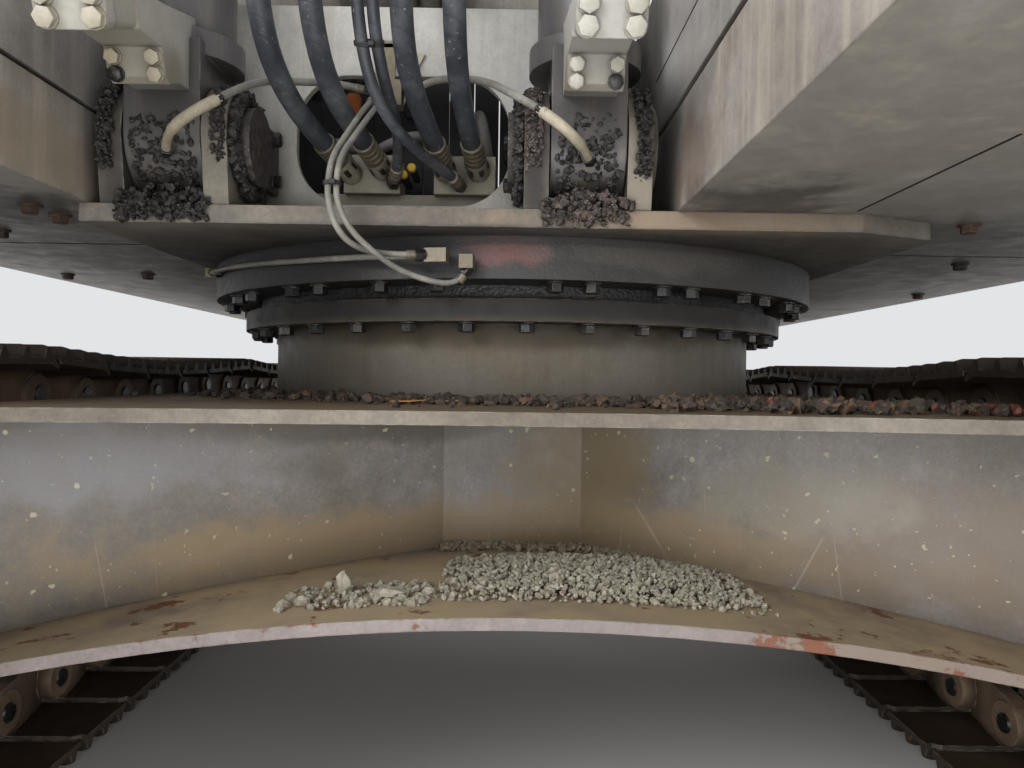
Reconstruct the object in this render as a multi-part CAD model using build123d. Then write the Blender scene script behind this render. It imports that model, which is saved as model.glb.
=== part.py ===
from build123d import *
import math
import os

# Undercarriage of a crawler excavator, with its slewing ring, the revolving frame on it,
# the two boom cylinders on their feet and the hydraulic hoses between them.
# Origin on the ground under the slewing axis. +X to the cab's side, +Y to the rear, +Z up.
# "left" is the cab's side, +X, and "right" is the tool side, -X. All sizes in millimetres.

os.makedirs("parts", exist_ok=True)

# Clearances
bearing_gap = 0.8
seat_gap = 0.3
pin_gap = 0.05
eye_gap = 6

# Tracks
link_pitch = 216
link_count = 48
sprocket_teeth = 22
shoe_width = 600
shoe_thickness = 14
grouser_height = 28
grouser_base = 30
grouser_tip = 14
grouser_spacing = 74
rail_above_pin = 65
seat_below_pin = 62
rail_width = 37
rail_offset = 88.5
upper_run_sag = 26
track_gauge = 2590

# Track frames and running gear
frame_bottom = 372
frame_wall_top = 600
frame_roof_top = 648
frame_half_width = 190
frame_roof_half = 90
frame_overhang = 430
roller_count = 8
roller_radius = 95
roller_end_reach = 170
roller_span_inset = 470
roller_relief = 25
roller_shoulder = 14
roller_side_play = 2
roller_bracket = (120, 45)
carrier_count = 2
carrier_radius = 70
carrier_post_width = 36
carrier_post_reach = 135
carrier_shaft_radius = 40
carrier_post_depth = 100
carrier_post_top = 50
carrier_post_root = 20
idler_rim_width = 2 * (rail_offset + rail_width / 2)
idler_flange_height = 20
idler_hub_radius = 110
idler_web_depth = 45
idler_rim_thickness = 46
idler_shaft_radius = 60
fork_thickness = 32
fork_height = 90
fork_gap = 8
fork_front = 80
fork_root = 60
sprocket_width = 90
sprocket_tip_over_pitch = 16
sprocket_root_under_pitch = 30
drive_hub_radius = 235
drive_cover_radius = 175
drive_cover_depth = 75
drive_plate_radius = 285
drive_plate_thickness = 34
drive_plate_root = 200
motor_radius = 140
motor_length = 115

# Carbody between the tracks
plate_top_z = 848
top_plate_thickness = 22
bottom_plate_z = 530
bottom_plate_thickness = 20
arch_radius = 5000
level_half = 880
leg_top_at_track = 600
top_edge_centre = 1105
top_edge_leg = 1235
notch_half = 520
notch_depth = 240
web_thickness = 16
web_centre = 600
web_flat_half = 150
web_at_leg = 1060
web_notch_inset = 60
web_middle_share = 0.56
turret_hole_radius = 540
bottom_hole_radius = 260

# Turret and slewing ring
turret_radius = 663
turret_wall = 26
turret_flange_radius = 744.5
turret_flange_inner = 600
turret_flange_z = 1014
turret_flange_thickness = 46
race_parting_radius = 712
inner_race_bore = 610
outer_race_radius = 818
outer_race_bottom = 1089.5
seal_lip = 18
race_relief = 6
seal_lip_rise = 8
race_floor_gap = 12
swivel_radius = 120
swivel_flange_radius = 280
swivel_flange_thickness = 30
swivel_top_radius = 90
swivel_above_floor = (40, 90)

# Floor plate of the revolving frame
floor_bottom = 1173
floor_thickness = 33
floor_front = 894
floor_right = 790
floor_left_front = 627
floor_left = 800
floor_corner_back = 74
floor_corner_radius = 40
floor_rear = 2290
floor_tail_left = 640
floor_opening_radius = 300
floor_shoulder_y = 1000
floor_taper = 300
floor_tail_right = 900

# Boom cylinders, their feet and the two main plates
boom_x = -255.5
cylinder_offset = 382.5
foot_pin_y = -800
foot_pin_z = 1335
foot_pin_radius = 50
foot_ear_radius = 108
ear_thickness = 45
eye_width = 136
eye_radius = 105
ear_foot_front = 90
ear_foot_back = 150
main_plate_thickness = 45
boom_foot_y = -280
boom_foot_z = 1930
boom_foot_radius = 140
boom_foot_bore = 55
boom_boss_outside = 20
boom_boss_inside = 90
boom_boss_radius = 125
ear_boss_radius = 84
main_plate_mid_y = 420
main_plate_mid_z = 1640
main_plate_tail_z = 1520
plate_holes = ((900, 1390, 150), (1500, 1370, 110))
bore_reach = 200
pin_end_radius = 73
pin_end_thickness = 22
pin_stand_off = 8
pin_tail = 4
ear_boss = 12
lock_plate_size = (14, 70, 62)
lock_plate_lap = 6
lock_block_inset = (20, 6, 8)
neck_back = 80
neck_top = 165
collar_radius = 107
collar_height = 46
collar_below_neck = 20
cylinder_floor = 100
barrel_radius = 91
barrel_length = 1560
gland_radius = 108
gland_height = 110
rod_radius = 52.5
cylinder_closed = 2120
rod_eye_radius = 100
rod_eye_width = 130
rod_eye_bore = 50
rod_end_gap = 10

# Valve block on the front of each cylinder's foot
port_plate = (104, 50, 90)
port_plate_z = 1388
valve_bridge = (80, 110, 70)
valve_bridge_lap = 30
valve_block_lap = 20
valve_block = (108, 84, 124)
valve_block_z = 1400

# Cross plates between the main plates
cross_plate_y = -640
cross_plate_thickness = 20
cross_plate_top = 1680
opening_width = 450
opening_shift = 15
opening_bottom = 1262
opening_top = 1535
opening_corner = 110
rear_cross_y = 700
rear_cross_top = 1500
rear_cross_hole = (300, 150, 60)
tail_plate_thickness = 50
tail_plate_half = 1050
tail_plate_top = 1560
tail_plate_corner = 120
tail_bolt_radius = 22
tail_bolt_spacing_x = 1500
tail_bolt_spacing_z = 200

# Side decks
deck_half_width = 1506
cab_deck_inner = 291
cab_deck_front = 2030
cab_deck_rear = 980
cab_deck_top = 1395
deck_sheet = 8
cab_base_gap = 14
cab_base_top = 1730
cab_base_front = 1990
cab_base_rear = 180
cab_base_outer = 1380
cab_wall = 12
cab_mount_radius = 55
cab_mount_inset = 130
cab_base_corner = 90
tool_box_setback = 250
tool_box_edge = 10
deck_tail_gap = 60
deck_joint_gap = 12
tail_deck_inner = 820
tool_deck_inner = 772
tool_deck_front = 1500
tool_deck_top = 1371
tool_box_gap = 9
tool_box_top = 1740
tool_box_rear = 80
tool_foot_inset = 30
tail_deck_top = 1371
outrigger_y = (1100, 1750)
outrigger_height = 150
outrigger_thickness = 20

# Swing drive
swing_x = -255.5
swing_y = 420
swing_gear_radius = 175
swing_gear_height = 330
swing_motor_radius = 110
swing_motor_height = 260
swing_flange_radius = 215
swing_flange_thickness = 28

# Hydraulic manifold behind the opening
manifold_y = -555
manifold_depth = 90
manifold_z = 1300
manifold_height = 82
manifold_blocks = ((-376, 122), (-180, 134))
rail_bar_z = 1276
rail_bar_height = 26
rail_bar_depth = 40
port_block_seat = 1
hose_radius = 20
ferrule_radius = 24
ferrule_length = 62
hose_bar_y = -470
hose_bar_z = (1700, 1835)
hose_bar_depth = 30
clamp_ferrule_length = 92

# Values that follow from the sizes above
pitch_radius = link_pitch * sprocket_teeth / 2 / (2 * math.pi)
wheelbase = (link_count - sprocket_teeth / 2) * link_pitch / 2
grouser_out = seat_below_pin + shoe_thickness + grouser_height
low_pin_z = grouser_out
wheel_z = low_pin_z + pitch_radius
chord_radius = pitch_radius * math.cos(2 * math.pi / sprocket_teeth)
rail_top_z = low_pin_z + rail_above_pin
gauge_half = track_gauge / 2
frame_inner_x = gauge_half - frame_half_width
top_plate_under = plate_top_z - top_plate_thickness
floor_top = floor_bottom + floor_thickness
main_plate_offset = cylinder_offset + eye_width / 2 + eye_gap / 2 + main_plate_thickness / 2
inner_ear_offset = cylinder_offset - eye_width / 2 - eye_gap / 2 - ear_thickness / 2
main_inner = main_plate_offset - main_plate_thickness / 2
flange_top = turret_flange_z + turret_flange_thickness
deck_rear = floor_rear - tail_plate_thickness - deck_tail_gap


def box(x0, x1, y0, y1, z0, z1):
    """A block between two opposite corners."""
    size = (abs(x1 - x0), abs(y1 - y0), abs(z1 - z0))
    middle = ((x0 + x1) / 2, (y0 + y1) / 2, (z0 + z1) / 2)
    return Pos(*middle) * Box(*size)


def rod_x(radius, x0, x1, y, z):
    """A round bar along X."""
    return Pos((x0 + x1) / 2, y, z) * Rot(0, 90, 0) * Cylinder(radius, abs(x1 - x0))


def rod_z(radius, z0, z1, x=0, y=0):
    """A round bar along Z."""
    return Pos(x, y, (z0 + z1) / 2) * Cylinder(radius, abs(z1 - z0))


def tube_z(outer, inner, z0, z1, x=0, y=0):
    return rod_z(outer, z0, z1, x, y) - rod_z(inner, z0 - 1, z1 + 1, x, y)


def side_profile(sketch, x0, x1):
    """Extrude a sketch whose first axis is the part's Y and whose second is Z, from x0 to x1."""
    solid = Plane.YZ * sketch
    return Pos(x0, 0, 0) * extrude(solid, amount=x1 - x0)


def front_profile(sketch, y0, y1):
    """Extrude a sketch drawn in X and Z from y0 to y1."""
    plane = Plane(origin=(0, y1, 0), x_dir=(1, 0, 0), z_dir=(0, -1, 0))
    return extrude(plane * sketch, amount=y1 - y0)


def polygon(points):
    return make_face(Polyline(*points, close=True))


def disc(radius, y, z):
    return Pos(y, z) * Circle(radius)


def mirrored(shape):
    return mirror(shape, about=Plane.YZ)


def save(shape, node):
    export_step(shape, f"parts/{node}.step")


def save_pair(shape, node):
    """Save a piece drawn on the left, and its mirror image on the right."""
    save(shape, node + "_left")
    save(mirrored(shape), node + "_right")


# Track: one closed loop of links, seen from the side

def pin_place(distance):
    """Y and Z of the chain line at a distance along the loop from the front of the lower run."""
    arc = math.pi * pitch_radius
    distance %= 2 * wheelbase + 2 * arc
    if distance < wheelbase:
        return distance - wheelbase / 2, low_pin_z
    distance -= wheelbase
    if distance < arc:
        turn = distance / pitch_radius
        return wheelbase / 2 + pitch_radius * math.sin(turn), wheel_z - pitch_radius * math.cos(turn)
    distance -= arc
    if distance < wheelbase:
        sag = upper_run_sag * abs(math.sin((carrier_count + 1) * math.pi * distance / wheelbase))
        return wheelbase / 2 - distance, wheel_z + pitch_radius - sag
    turn = (distance - wheelbase) / pitch_radius
    return -wheelbase / 2 - pitch_radius * math.sin(turn), wheel_z + pitch_radius * math.cos(turn)


def link_frames():
    """Middle, direction and outward normal of each link."""
    frames = []
    for index in range(link_count):
        start = Vector(*pin_place(index * link_pitch))
        end = Vector(*pin_place((index + 1) * link_pitch))
        along = (end - start).normalized()
        frames.append(((start + end) / 2, along, Vector(along.Y, -along.X)))
    return frames


def loop_points(outline):
    """The points of one link's outline, (along, outward) each, repeated round the loop."""
    points = []
    for middle, along, outward in link_frames():
        for u, v in outline:
            place = middle + along * u + outward * v
            points.append((place.X, place.Y))
    return points


def pin_loop(offset):
    """A loop with one corner at each pin, offset outwards from the chain line."""
    frames = link_frames()
    points = []
    for index in range(link_count):
        middle, along, outward = frames[index]
        before = frames[index - 1]
        normal = (outward + before[2]).normalized()
        stretch = offset / normal.dot(outward)
        corner = Vector(*pin_place(index * link_pitch)) + normal * stretch
        points.append((corner.X, corner.Y))
    return points


def shoe_outline():
    """Outer side of one shoe: three grousers on a flat plate."""
    plate = seat_below_pin + shoe_thickness
    points = []
    for centre in (-grouser_spacing, 0, grouser_spacing):
        points.append((centre - grouser_base / 2, plate))
        points.append((centre - grouser_tip / 2, grouser_out))
        points.append((centre + grouser_tip / 2, grouser_out))
        points.append((centre + grouser_base / 2, plate))
    return points


def make_track():
    band = polygon(loop_points(shoe_outline())) - polygon(pin_loop(seat_below_pin))
    track = side_profile(band, gauge_half - shoe_width / 2, gauge_half + shoe_width / 2)
    rail = polygon(pin_loop(seat_below_pin + shoe_thickness / 2)) - polygon(pin_loop(-rail_above_pin))
    for side in (-1, 1):
        middle = gauge_half + side * rail_offset
        track += side_profile(rail, middle - rail_width / 2, middle + rail_width / 2)
    return track


def carrier_places():
    """Y and Z of the carrier rollers, each under the middle of the nearest link of the upper run."""
    places = []
    for index in range(carrier_count):
        wanted = (index - (carrier_count - 1) / 2) * wheelbase / (carrier_count + 1)
        upper = [frame for frame in link_frames() if frame[0].Y > wheel_z]
        middle, along, outward = min(upper, key=lambda frame: abs(frame[0].X - wanted))
        place = middle - outward * (rail_above_pin + seat_gap + carrier_radius)
        places.append((place.X, place.Y))
    return places


# Wheels of the running gear

def make_sprocket():
    """A toothed ring on the hub of the final drive, with the drive's outer cover."""
    tip = pitch_radius + sprocket_tip_over_pitch
    root = pitch_radius - sprocket_root_under_pitch
    step = 2 * math.pi / sprocket_teeth
    points = []
    for tooth in range(sprocket_teeth):
        for radius, share in ((root, -0.30), (tip, -0.13), (tip, 0.13), (root, 0.30)):
            angle = (tooth + share) * step
            points.append((wheelbase / 2 + radius * math.cos(angle), wheel_z + radius * math.sin(angle)))
    ring = polygon(points) - disc(drive_hub_radius, wheelbase / 2, wheel_z)
    return side_profile(ring, gauge_half - sprocket_width / 2, gauge_half + sprocket_width / 2)


def make_final_drive():
    y = wheelbase / 2
    inner = gauge_half - roller_end_reach
    outer = gauge_half + sprocket_width / 2
    drive = rod_x(drive_hub_radius, inner, outer, y, wheel_z)
    drive += rod_x(drive_cover_radius, outer, outer + drive_cover_depth, y, wheel_z)
    drive += rod_x(motor_radius, inner - drive_plate_thickness - motor_length, inner, y, wheel_z)
    return drive


def make_idler():
    y = -wheelbase / 2
    rim = chord_radius - rail_above_pin - seat_gap
    half = idler_rim_width / 2
    wheel = rod_x(rim, gauge_half - half, gauge_half + half, y, wheel_z)
    guide = rail_offset - rail_width / 2 - roller_side_play
    wheel += rod_x(rim + idler_flange_height, gauge_half - guide, gauge_half + guide, y, wheel_z)
    for side in (-1, 1):
        face = gauge_half + side * half
        dish = rod_x(rim - idler_rim_thickness, face - side * idler_web_depth, face + side, y, wheel_z)
        dish -= rod_x(idler_hub_radius, face - side * (idler_web_depth + 1), face + side * 2, y, wheel_z)
        wheel -= dish
    reach = half + fork_gap
    wheel += rod_x(idler_shaft_radius, gauge_half - reach, gauge_half + reach, y, wheel_z)
    return wheel


def make_rollers():
    """Lower rollers between their end brackets, and carrier rollers on their posts."""
    centre_z = rail_top_z + seat_gap + roller_radius
    span = wheelbase - 2 * roller_span_inset
    tread_half = rail_offset + rail_width / 2
    shoulder = tread_half + roller_side_play + roller_shoulder
    depth, drop = roller_bracket
    pieces = []
    for index in range(roller_count):
        y = -span / 2 + index * span / (roller_count - 1)
        roller = rod_x(roller_radius, gauge_half - tread_half, gauge_half + tread_half, y, centre_z)
        core = roller_radius - roller_relief
        roller += rod_x(core, gauge_half - shoulder, gauge_half + shoulder, y, centre_z)
        for side in (-1, 1):
            near = gauge_half + side * shoulder
            far = gauge_half + side * roller_end_reach
            roller += box(near, far, y - depth / 2, y + depth / 2, centre_z - drop, frame_bottom)
        pieces.append(roller)
    for y, z in carrier_places():
        roller = rod_x(carrier_radius, gauge_half - tread_half, gauge_half + tread_half, y, z)
        roller += rod_x(carrier_shaft_radius, gauge_half - carrier_post_reach, gauge_half, y, z)
        pieces.append(roller)
    return pieces


def make_track_frame():
    """Box beam with a sloping roof, a fork for the idler and a plate for the final drive."""
    low = frame_bottom
    section = polygon([
        (-frame_half_width, low), (frame_half_width, low),
        (frame_half_width, frame_wall_top), (frame_roof_half, frame_roof_top),
        (-frame_roof_half, frame_roof_top), (-frame_half_width, frame_wall_top)])
    start = -wheelbase / 2 + frame_overhang
    end = wheelbase / 2 - frame_overhang
    beam = front_profile(Pos(gauge_half, 0) * section, start, end)
    half = idler_rim_width / 2 + fork_gap
    fork_low = wheel_z - fork_height / 2
    for side in (-1, 1):
        near = gauge_half + side * half
        far = near + side * fork_thickness
        fork_start = -wheelbase / 2 - fork_front
        beam += box(near, far, fork_start, start + fork_root, fork_low, fork_low + fork_height)
    inner = gauge_half - roller_end_reach
    root = end - drive_plate_root
    plate = polygon([(root, low), (root, frame_wall_top), (wheelbase / 2, wheel_z + drive_plate_radius),
                     (wheelbase / 2, wheel_z - drive_plate_radius)])
    plate += disc(drive_plate_radius, wheelbase / 2, wheel_z)
    plate -= disc(motor_radius, wheelbase / 2, wheel_z)
    beam += side_profile(plate, inner - drive_plate_thickness, inner)
    post_x = gauge_half - carrier_post_reach
    post_low = frame_wall_top - carrier_post_root
    deep = carrier_post_depth / 2
    for y, z in carrier_places():
        beam += box(post_x - carrier_post_width, post_x, y - deep, y + deep, post_low, z + carrier_post_top)
    return beam


# Carbody: an X-shaped box with a concave front, an arched underside and sloping leg tops

def carbody_plan(edge_centre, edge_leg, reach, notch_y, notch_x):
    """Plan of the carbody: concave front and rear edges and a curved notch at each side."""
    front = ThreePointArc((-reach, -edge_leg), (0, -edge_centre), (reach, -edge_leg))
    right = Line((reach, -edge_leg), (reach, -notch_y))
    right_notch = ThreePointArc((reach, -notch_y), (notch_x, 0), (reach, notch_y))
    right_rear = Line((reach, notch_y), (reach, edge_leg))
    rear = ThreePointArc((reach, edge_leg), (0, edge_centre), (-reach, edge_leg))
    left_rear = Line((-reach, edge_leg), (-reach, notch_y))
    left_notch = ThreePointArc((-reach, notch_y), (-notch_x, 0), (-reach, -notch_y))
    left = Line((-reach, -notch_y), (-reach, -edge_leg))
    return make_face(Curve() + [front, right, right_notch, right_rear, rear, left_rear, left_notch, left])


def web_plan(inset):
    """Plan of the box inside the plates, whose front web has a flat middle between curved wings."""
    reach = frame_inner_x
    centre = web_centre - inset
    leg = web_at_leg - inset
    flat = web_flat_half
    middle_x = (flat + reach) / 2
    middle_y = centre + (leg - centre) * web_middle_share
    notch_x = reach - notch_depth - web_notch_inset - inset
    notch_y = notch_half + web_notch_inset + inset
    edges = [Line((-flat, -centre), (flat, -centre))]
    edges.append(ThreePointArc((flat, -centre), (middle_x, -middle_y), (reach, -leg)))
    edges.append(Line((reach, -leg), (reach, -notch_y)))
    edges.append(ThreePointArc((reach, -notch_y), (notch_x, 0), (reach, notch_y)))
    edges.append(Line((reach, notch_y), (reach, leg)))
    edges.append(ThreePointArc((reach, leg), (middle_x, middle_y), (flat, centre)))
    edges.append(Line((flat, centre), (-flat, centre)))
    edges.append(ThreePointArc((-flat, centre), (-middle_x, middle_y), (-reach, leg)))
    edges.append(Line((-reach, leg), (-reach, notch_y)))
    edges.append(ThreePointArc((-reach, notch_y), (-notch_x, 0), (-reach, -notch_y)))
    edges.append(Line((-reach, -notch_y), (-reach, -leg)))
    edges.append(ThreePointArc((-reach, -leg), (-middle_x, -middle_y), (-flat, -centre)))
    return make_face(Curve() + edges)


def arch_drop(x):
    return arch_radius - math.sqrt(arch_radius ** 2 - x ** 2)


def level_band(upper, lower):
    """Front view between a top line that slopes down to the tracks and one a little below it."""
    reach = frame_inner_x
    slope = plate_top_z - leg_top_at_track
    return polygon([
        (-reach, upper - slope), (-level_half, upper), (level_half, upper), (reach, upper - slope),
        (reach, lower - slope), (level_half, lower), (-level_half, lower), (-reach, lower - slope)])


def arched_band(upper, lower):
    """Front view between two arches."""
    reach = frame_inner_x
    drop = arch_drop(reach)
    edges = [ThreePointArc((-reach, upper - drop), (0, upper), (reach, upper - drop))]
    edges.append(Line((reach, upper - drop), (reach, lower - drop)))
    edges.append(ThreePointArc((reach, lower - drop), (0, lower), (-reach, lower - drop)))
    edges.append(Line((-reach, lower - drop), (-reach, upper - drop)))
    return make_face(Curve() + edges)


def between_plates():
    reach = frame_inner_x
    slope = plate_top_z - leg_top_at_track
    drop = arch_drop(reach)
    upper = top_plate_under
    foot = bottom_plate_z - drop
    edges = [ThreePointArc((-reach, foot), (0, bottom_plate_z), (reach, foot))]
    edges.append(Line((reach, foot), (reach, upper - slope)))
    edges.append(Line((reach, upper - slope), (level_half, upper)))
    edges.append(Line((level_half, upper), (-level_half, upper)))
    edges.append(Line((-level_half, upper), (-reach, upper - slope)))
    edges.append(Line((-reach, upper - slope), (-reach, foot)))
    return make_face(Curve() + edges)


def make_carbody():
    long = 2 * top_edge_leg
    reach = frame_inner_x
    plan = carbody_plan(top_edge_centre, top_edge_leg, reach, notch_half, reach - notch_depth)
    outline = extrude(plan, amount=2 * plate_top_z)
    top = front_profile(level_band(plate_top_z, top_plate_under), -long, long) & outline
    top -= rod_z(turret_hole_radius, 0, 2 * plate_top_z)
    bottom = front_profile(arched_band(bottom_plate_z, bottom_plate_z - bottom_plate_thickness), -long, long)
    bottom &= outline
    bottom -= rod_z(bottom_hole_radius, 0, plate_top_z)
    walls = extrude(web_plan(0), amount=2 * plate_top_z)
    walls -= extrude(web_plan(web_thickness), amount=2 * plate_top_z)
    webs = front_profile(between_plates(), -long, long) & walls
    return top, bottom, webs


# Turret, slewing ring and centre joint

def make_turret():
    turret = tube_z(turret_radius, turret_radius - turret_wall, plate_top_z, turret_flange_z)
    turret += tube_z(turret_flange_radius, turret_flange_inner, turret_flange_z, flange_top)
    return turret


def make_inner_race():
    top = floor_bottom - race_floor_gap
    race = tube_z(race_parting_radius - race_relief, inner_race_bore, flange_top, top)
    lip = outer_race_bottom + seal_lip_rise
    race += tube_z(race_parting_radius, inner_race_bore, lip, lip + seal_lip)
    return race


def make_outer_race():
    return tube_z(outer_race_radius, race_parting_radius + bearing_gap, outer_race_bottom, floor_bottom)


def make_swivel():
    base = bottom_plate_z
    shoulder, top = (floor_top + rise for rise in swivel_above_floor)
    joint = rod_z(swivel_flange_radius, base, base + swivel_flange_thickness)
    joint += rod_z(swivel_radius, base, shoulder)
    return joint + rod_z(swivel_top_radius, shoulder, top)


# Revolving frame

def make_floor():
    """Floor plate: wide at the ring, with a cut corner at the front left, narrower at the tail."""
    front = -floor_front
    shoulder = floor_shoulder_y
    taper_end = shoulder + floor_taper
    points = [(-floor_right, front), (floor_left_front, front), (floor_left, front + floor_corner_back),
              (floor_left, shoulder), (floor_tail_left, taper_end), (floor_tail_left, floor_rear),
              (-floor_tail_right, floor_rear), (-floor_tail_right, taper_end), (-floor_right, shoulder)]
    plate = extrude(polygon(points), amount=floor_thickness)
    corners = plate.edges().filter_by(Axis.Z).group_by(Axis.Y)[1]
    plate = fillet(corners, floor_corner_radius)
    plate = Pos(0, 0, floor_bottom) * plate
    plate -= rod_z(floor_opening_radius, 0, 2 * floor_bottom)
    return plate


def ear_profile():
    """Side view of a cylinder ear: a round head on a foot that widens to the floor plate."""
    foot = polygon([
        (foot_pin_y - ear_foot_front, floor_top), (foot_pin_y + ear_foot_back, floor_top),
        (foot_pin_y + foot_ear_radius, foot_pin_z), (foot_pin_y - foot_ear_radius, foot_pin_z)])
    return foot + disc(foot_ear_radius, foot_pin_y, foot_pin_z)


def make_main_plate(outward):
    """Main plate with the round cylinder ear in front, the boom-foot head and a falling back."""
    back = floor_rear - tail_plate_thickness
    head_front = boom_foot_y - boom_foot_radius
    body = polygon([
        (foot_pin_y - ear_foot_front, floor_top), (back, floor_top), (back, main_plate_tail_z),
        (main_plate_mid_y, main_plate_mid_z), (boom_foot_y + boom_foot_radius, boom_foot_z),
        (head_front, boom_foot_z), (foot_pin_y + foot_ear_radius, foot_pin_z + foot_ear_radius * 0.6),
        (foot_pin_y + foot_ear_radius, foot_pin_z), (foot_pin_y - foot_ear_radius, foot_pin_z)])
    body += disc(foot_ear_radius, foot_pin_y, foot_pin_z)
    body += disc(boom_foot_radius, boom_foot_y, boom_foot_z)
    half = main_plate_thickness / 2
    plate = side_profile(body, -half, half)
    plate += rod_x(boom_boss_radius, outward * (half + boom_boss_outside),
                   -outward * (half + boom_boss_inside), boom_foot_y, boom_foot_z)
    plate += rod_x(ear_boss_radius, 0, outward * (half + ear_boss), foot_pin_y, foot_pin_z)
    plate -= rod_x(boom_foot_bore, -bore_reach, bore_reach, boom_foot_y, boom_foot_z)
    plate -= rod_x(foot_pin_radius, -bore_reach, bore_reach, foot_pin_y, foot_pin_z)
    for y, z, radius in plate_holes:
        plate -= rod_x(radius, -bore_reach, bore_reach, y, z)
    return plate


def make_inner_ear():
    half = ear_thickness / 2
    ear = side_profile(ear_profile(), -half, half)
    return ear - rod_x(foot_pin_radius, -bore_reach, bore_reach, foot_pin_y, foot_pin_z)


def make_foot_pin():
    """Pin through the eye, drawn with its head towards +X, and its locking plate."""
    outer = main_plate_offset + main_plate_thickness / 2 + ear_boss - cylinder_offset
    inner = inner_ear_offset - ear_thickness / 2 - cylinder_offset
    head = inner - pin_stand_off
    pin = rod_x(foot_pin_radius, -outer - pin_tail, -inner + pin_stand_off, foot_pin_y, foot_pin_z)
    pin += rod_x(pin_end_radius, -head, -head + pin_end_thickness, foot_pin_y, foot_pin_z)
    thick, deep, high = lock_plate_size
    front, back, end = lock_block_inset
    lock_y = foot_pin_y + pin_end_radius - lock_plate_lap
    pin += box(-head, -head + thick, lock_y, lock_y + deep, foot_pin_z - high, foot_pin_z + high)
    half = high - end
    lock_back = lock_y + deep - back
    pin += box(-inner, -head, lock_y + front, lock_back, foot_pin_z - half, foot_pin_z + half)
    return pin


def make_cross_plate():
    """Front cross plate between the main plates, with the large rounded opening."""
    x0 = boom_x - main_inner
    x1 = boom_x + main_inner
    panel = polygon([(x0, floor_top), (x1, floor_top), (x1, cross_plate_top), (x0, cross_plate_top)])
    middle = (opening_bottom + opening_top) / 2
    opening = RectangleRounded(opening_width, opening_top - opening_bottom, opening_corner)
    half = cross_plate_thickness / 2
    return front_profile(panel - Pos(boom_x + opening_shift, middle) * opening, cross_plate_y - half,
                         cross_plate_y + half)


def make_rear_cross():
    x0 = boom_x - main_inner
    x1 = boom_x + main_inner
    panel = polygon([(x0, floor_top), (x1, floor_top), (x1, rear_cross_top), (x0, rear_cross_top)])
    hole = Pos(boom_x, (floor_top + rear_cross_top) / 2) * RectangleRounded(*rear_cross_hole)
    return front_profile(panel - hole, rear_cross_y, rear_cross_y + cross_plate_thickness)


def make_tail_plate():
    half = tail_plate_half
    top = tail_plate_top
    cut = tail_plate_corner
    panel = polygon([(-half, floor_top), (half, floor_top), (half, top - cut), (half - cut, top),
                     (-half + cut, top), (-half, top - cut)])
    middle = (floor_top + top) / 2
    for sx in (-1, 1):
        for sz in (-1, 1):
            place = (sx * tail_bolt_spacing_x / 2, middle + sz * tail_bolt_spacing_z / 2)
            panel -= Pos(*place) * Circle(tail_bolt_radius)
    return front_profile(panel, floor_rear - tail_plate_thickness, floor_rear)


def open_deck(x0, x1, y0, y1, top, sheet):
    """A deck tray: a bottom sheet, four side walls and a top sheet, hollow inside."""
    outer = box(x0, x1, y0, y1, floor_top, top)
    return outer - box(x0 + sheet, x1 - sheet, y0 + sheet, y1 - sheet, floor_top + sheet, top - sheet)


def make_cab_deck():
    front = -cab_deck_front
    deck = open_deck(cab_deck_inner, deck_half_width, front, cab_deck_rear, cab_deck_top, deck_sheet)
    for sx in (cab_deck_inner + cab_mount_inset, cab_base_outer - cab_mount_inset):
        for sy in (-cab_base_front + cab_mount_inset, cab_base_rear - cab_mount_inset):
            deck += rod_z(cab_mount_radius, cab_deck_top, cab_deck_top + cab_base_gap, sx, sy)
    return deck


def make_cab_base():
    """Base of the cab: a closed hollow floor box with rounded front corners."""
    bottom = cab_deck_top + cab_base_gap
    pan = box(cab_deck_inner, cab_base_outer, -cab_base_front, cab_base_rear, bottom, cab_base_top)
    pan = fillet(pan.edges().filter_by(Axis.Z).sort_by(Axis.Y)[:2], cab_base_corner)
    inside = box(cab_deck_inner + cab_wall, cab_base_outer - cab_wall, -cab_base_front + cab_wall,
                 cab_base_rear - cab_wall, bottom + cab_wall, cab_base_top - cab_wall)
    inside = fillet(inside.edges().filter_by(Axis.Z).sort_by(Axis.Y)[:2], cab_base_corner - cab_wall)
    return pan - inside


def make_tool_deck():
    outer = -deck_half_width
    return open_deck(outer, -tool_deck_inner, -tool_deck_front, deck_rear, tool_deck_top, deck_sheet)


def make_tool_box():
    low = tool_deck_top + tool_box_gap
    front = -tool_deck_front + tool_box_setback
    chest = box(-deck_half_width, -tool_deck_inner, front, tool_box_rear, low, tool_box_top)
    chest = fillet(chest.edges().filter_by(Axis.X).sort_by(Axis.Y)[-1:], tool_box_edge)
    inset = tool_foot_inset
    foot = box(-deck_half_width + inset, -tool_deck_inner - inset, front + inset, tool_box_rear - inset,
               tool_deck_top, low)
    return chest + foot


def make_tail_deck():
    """Rear deck on the cab's side, where the cooling pack stands on the machine."""
    front = cab_deck_rear + deck_joint_gap
    return open_deck(tail_deck_inner, deck_half_width, front, deck_rear, tail_deck_top, deck_sheet)


def make_outriggers():
    """Cross beams that carry the side decks on the main plates."""
    half = main_plate_thickness / 2
    beams = []
    for y in outrigger_y:
        x_left = boom_x + main_plate_offset + half
        x_right = boom_x - main_plate_offset - half
        y1 = y + outrigger_thickness
        beams.append(box(x_left, tail_deck_inner, y, y1, floor_top, floor_top + outrigger_height))
        beams.append(box(-tool_deck_inner, x_right, y, y1, floor_top, floor_top + outrigger_height))
    return beams


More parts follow.
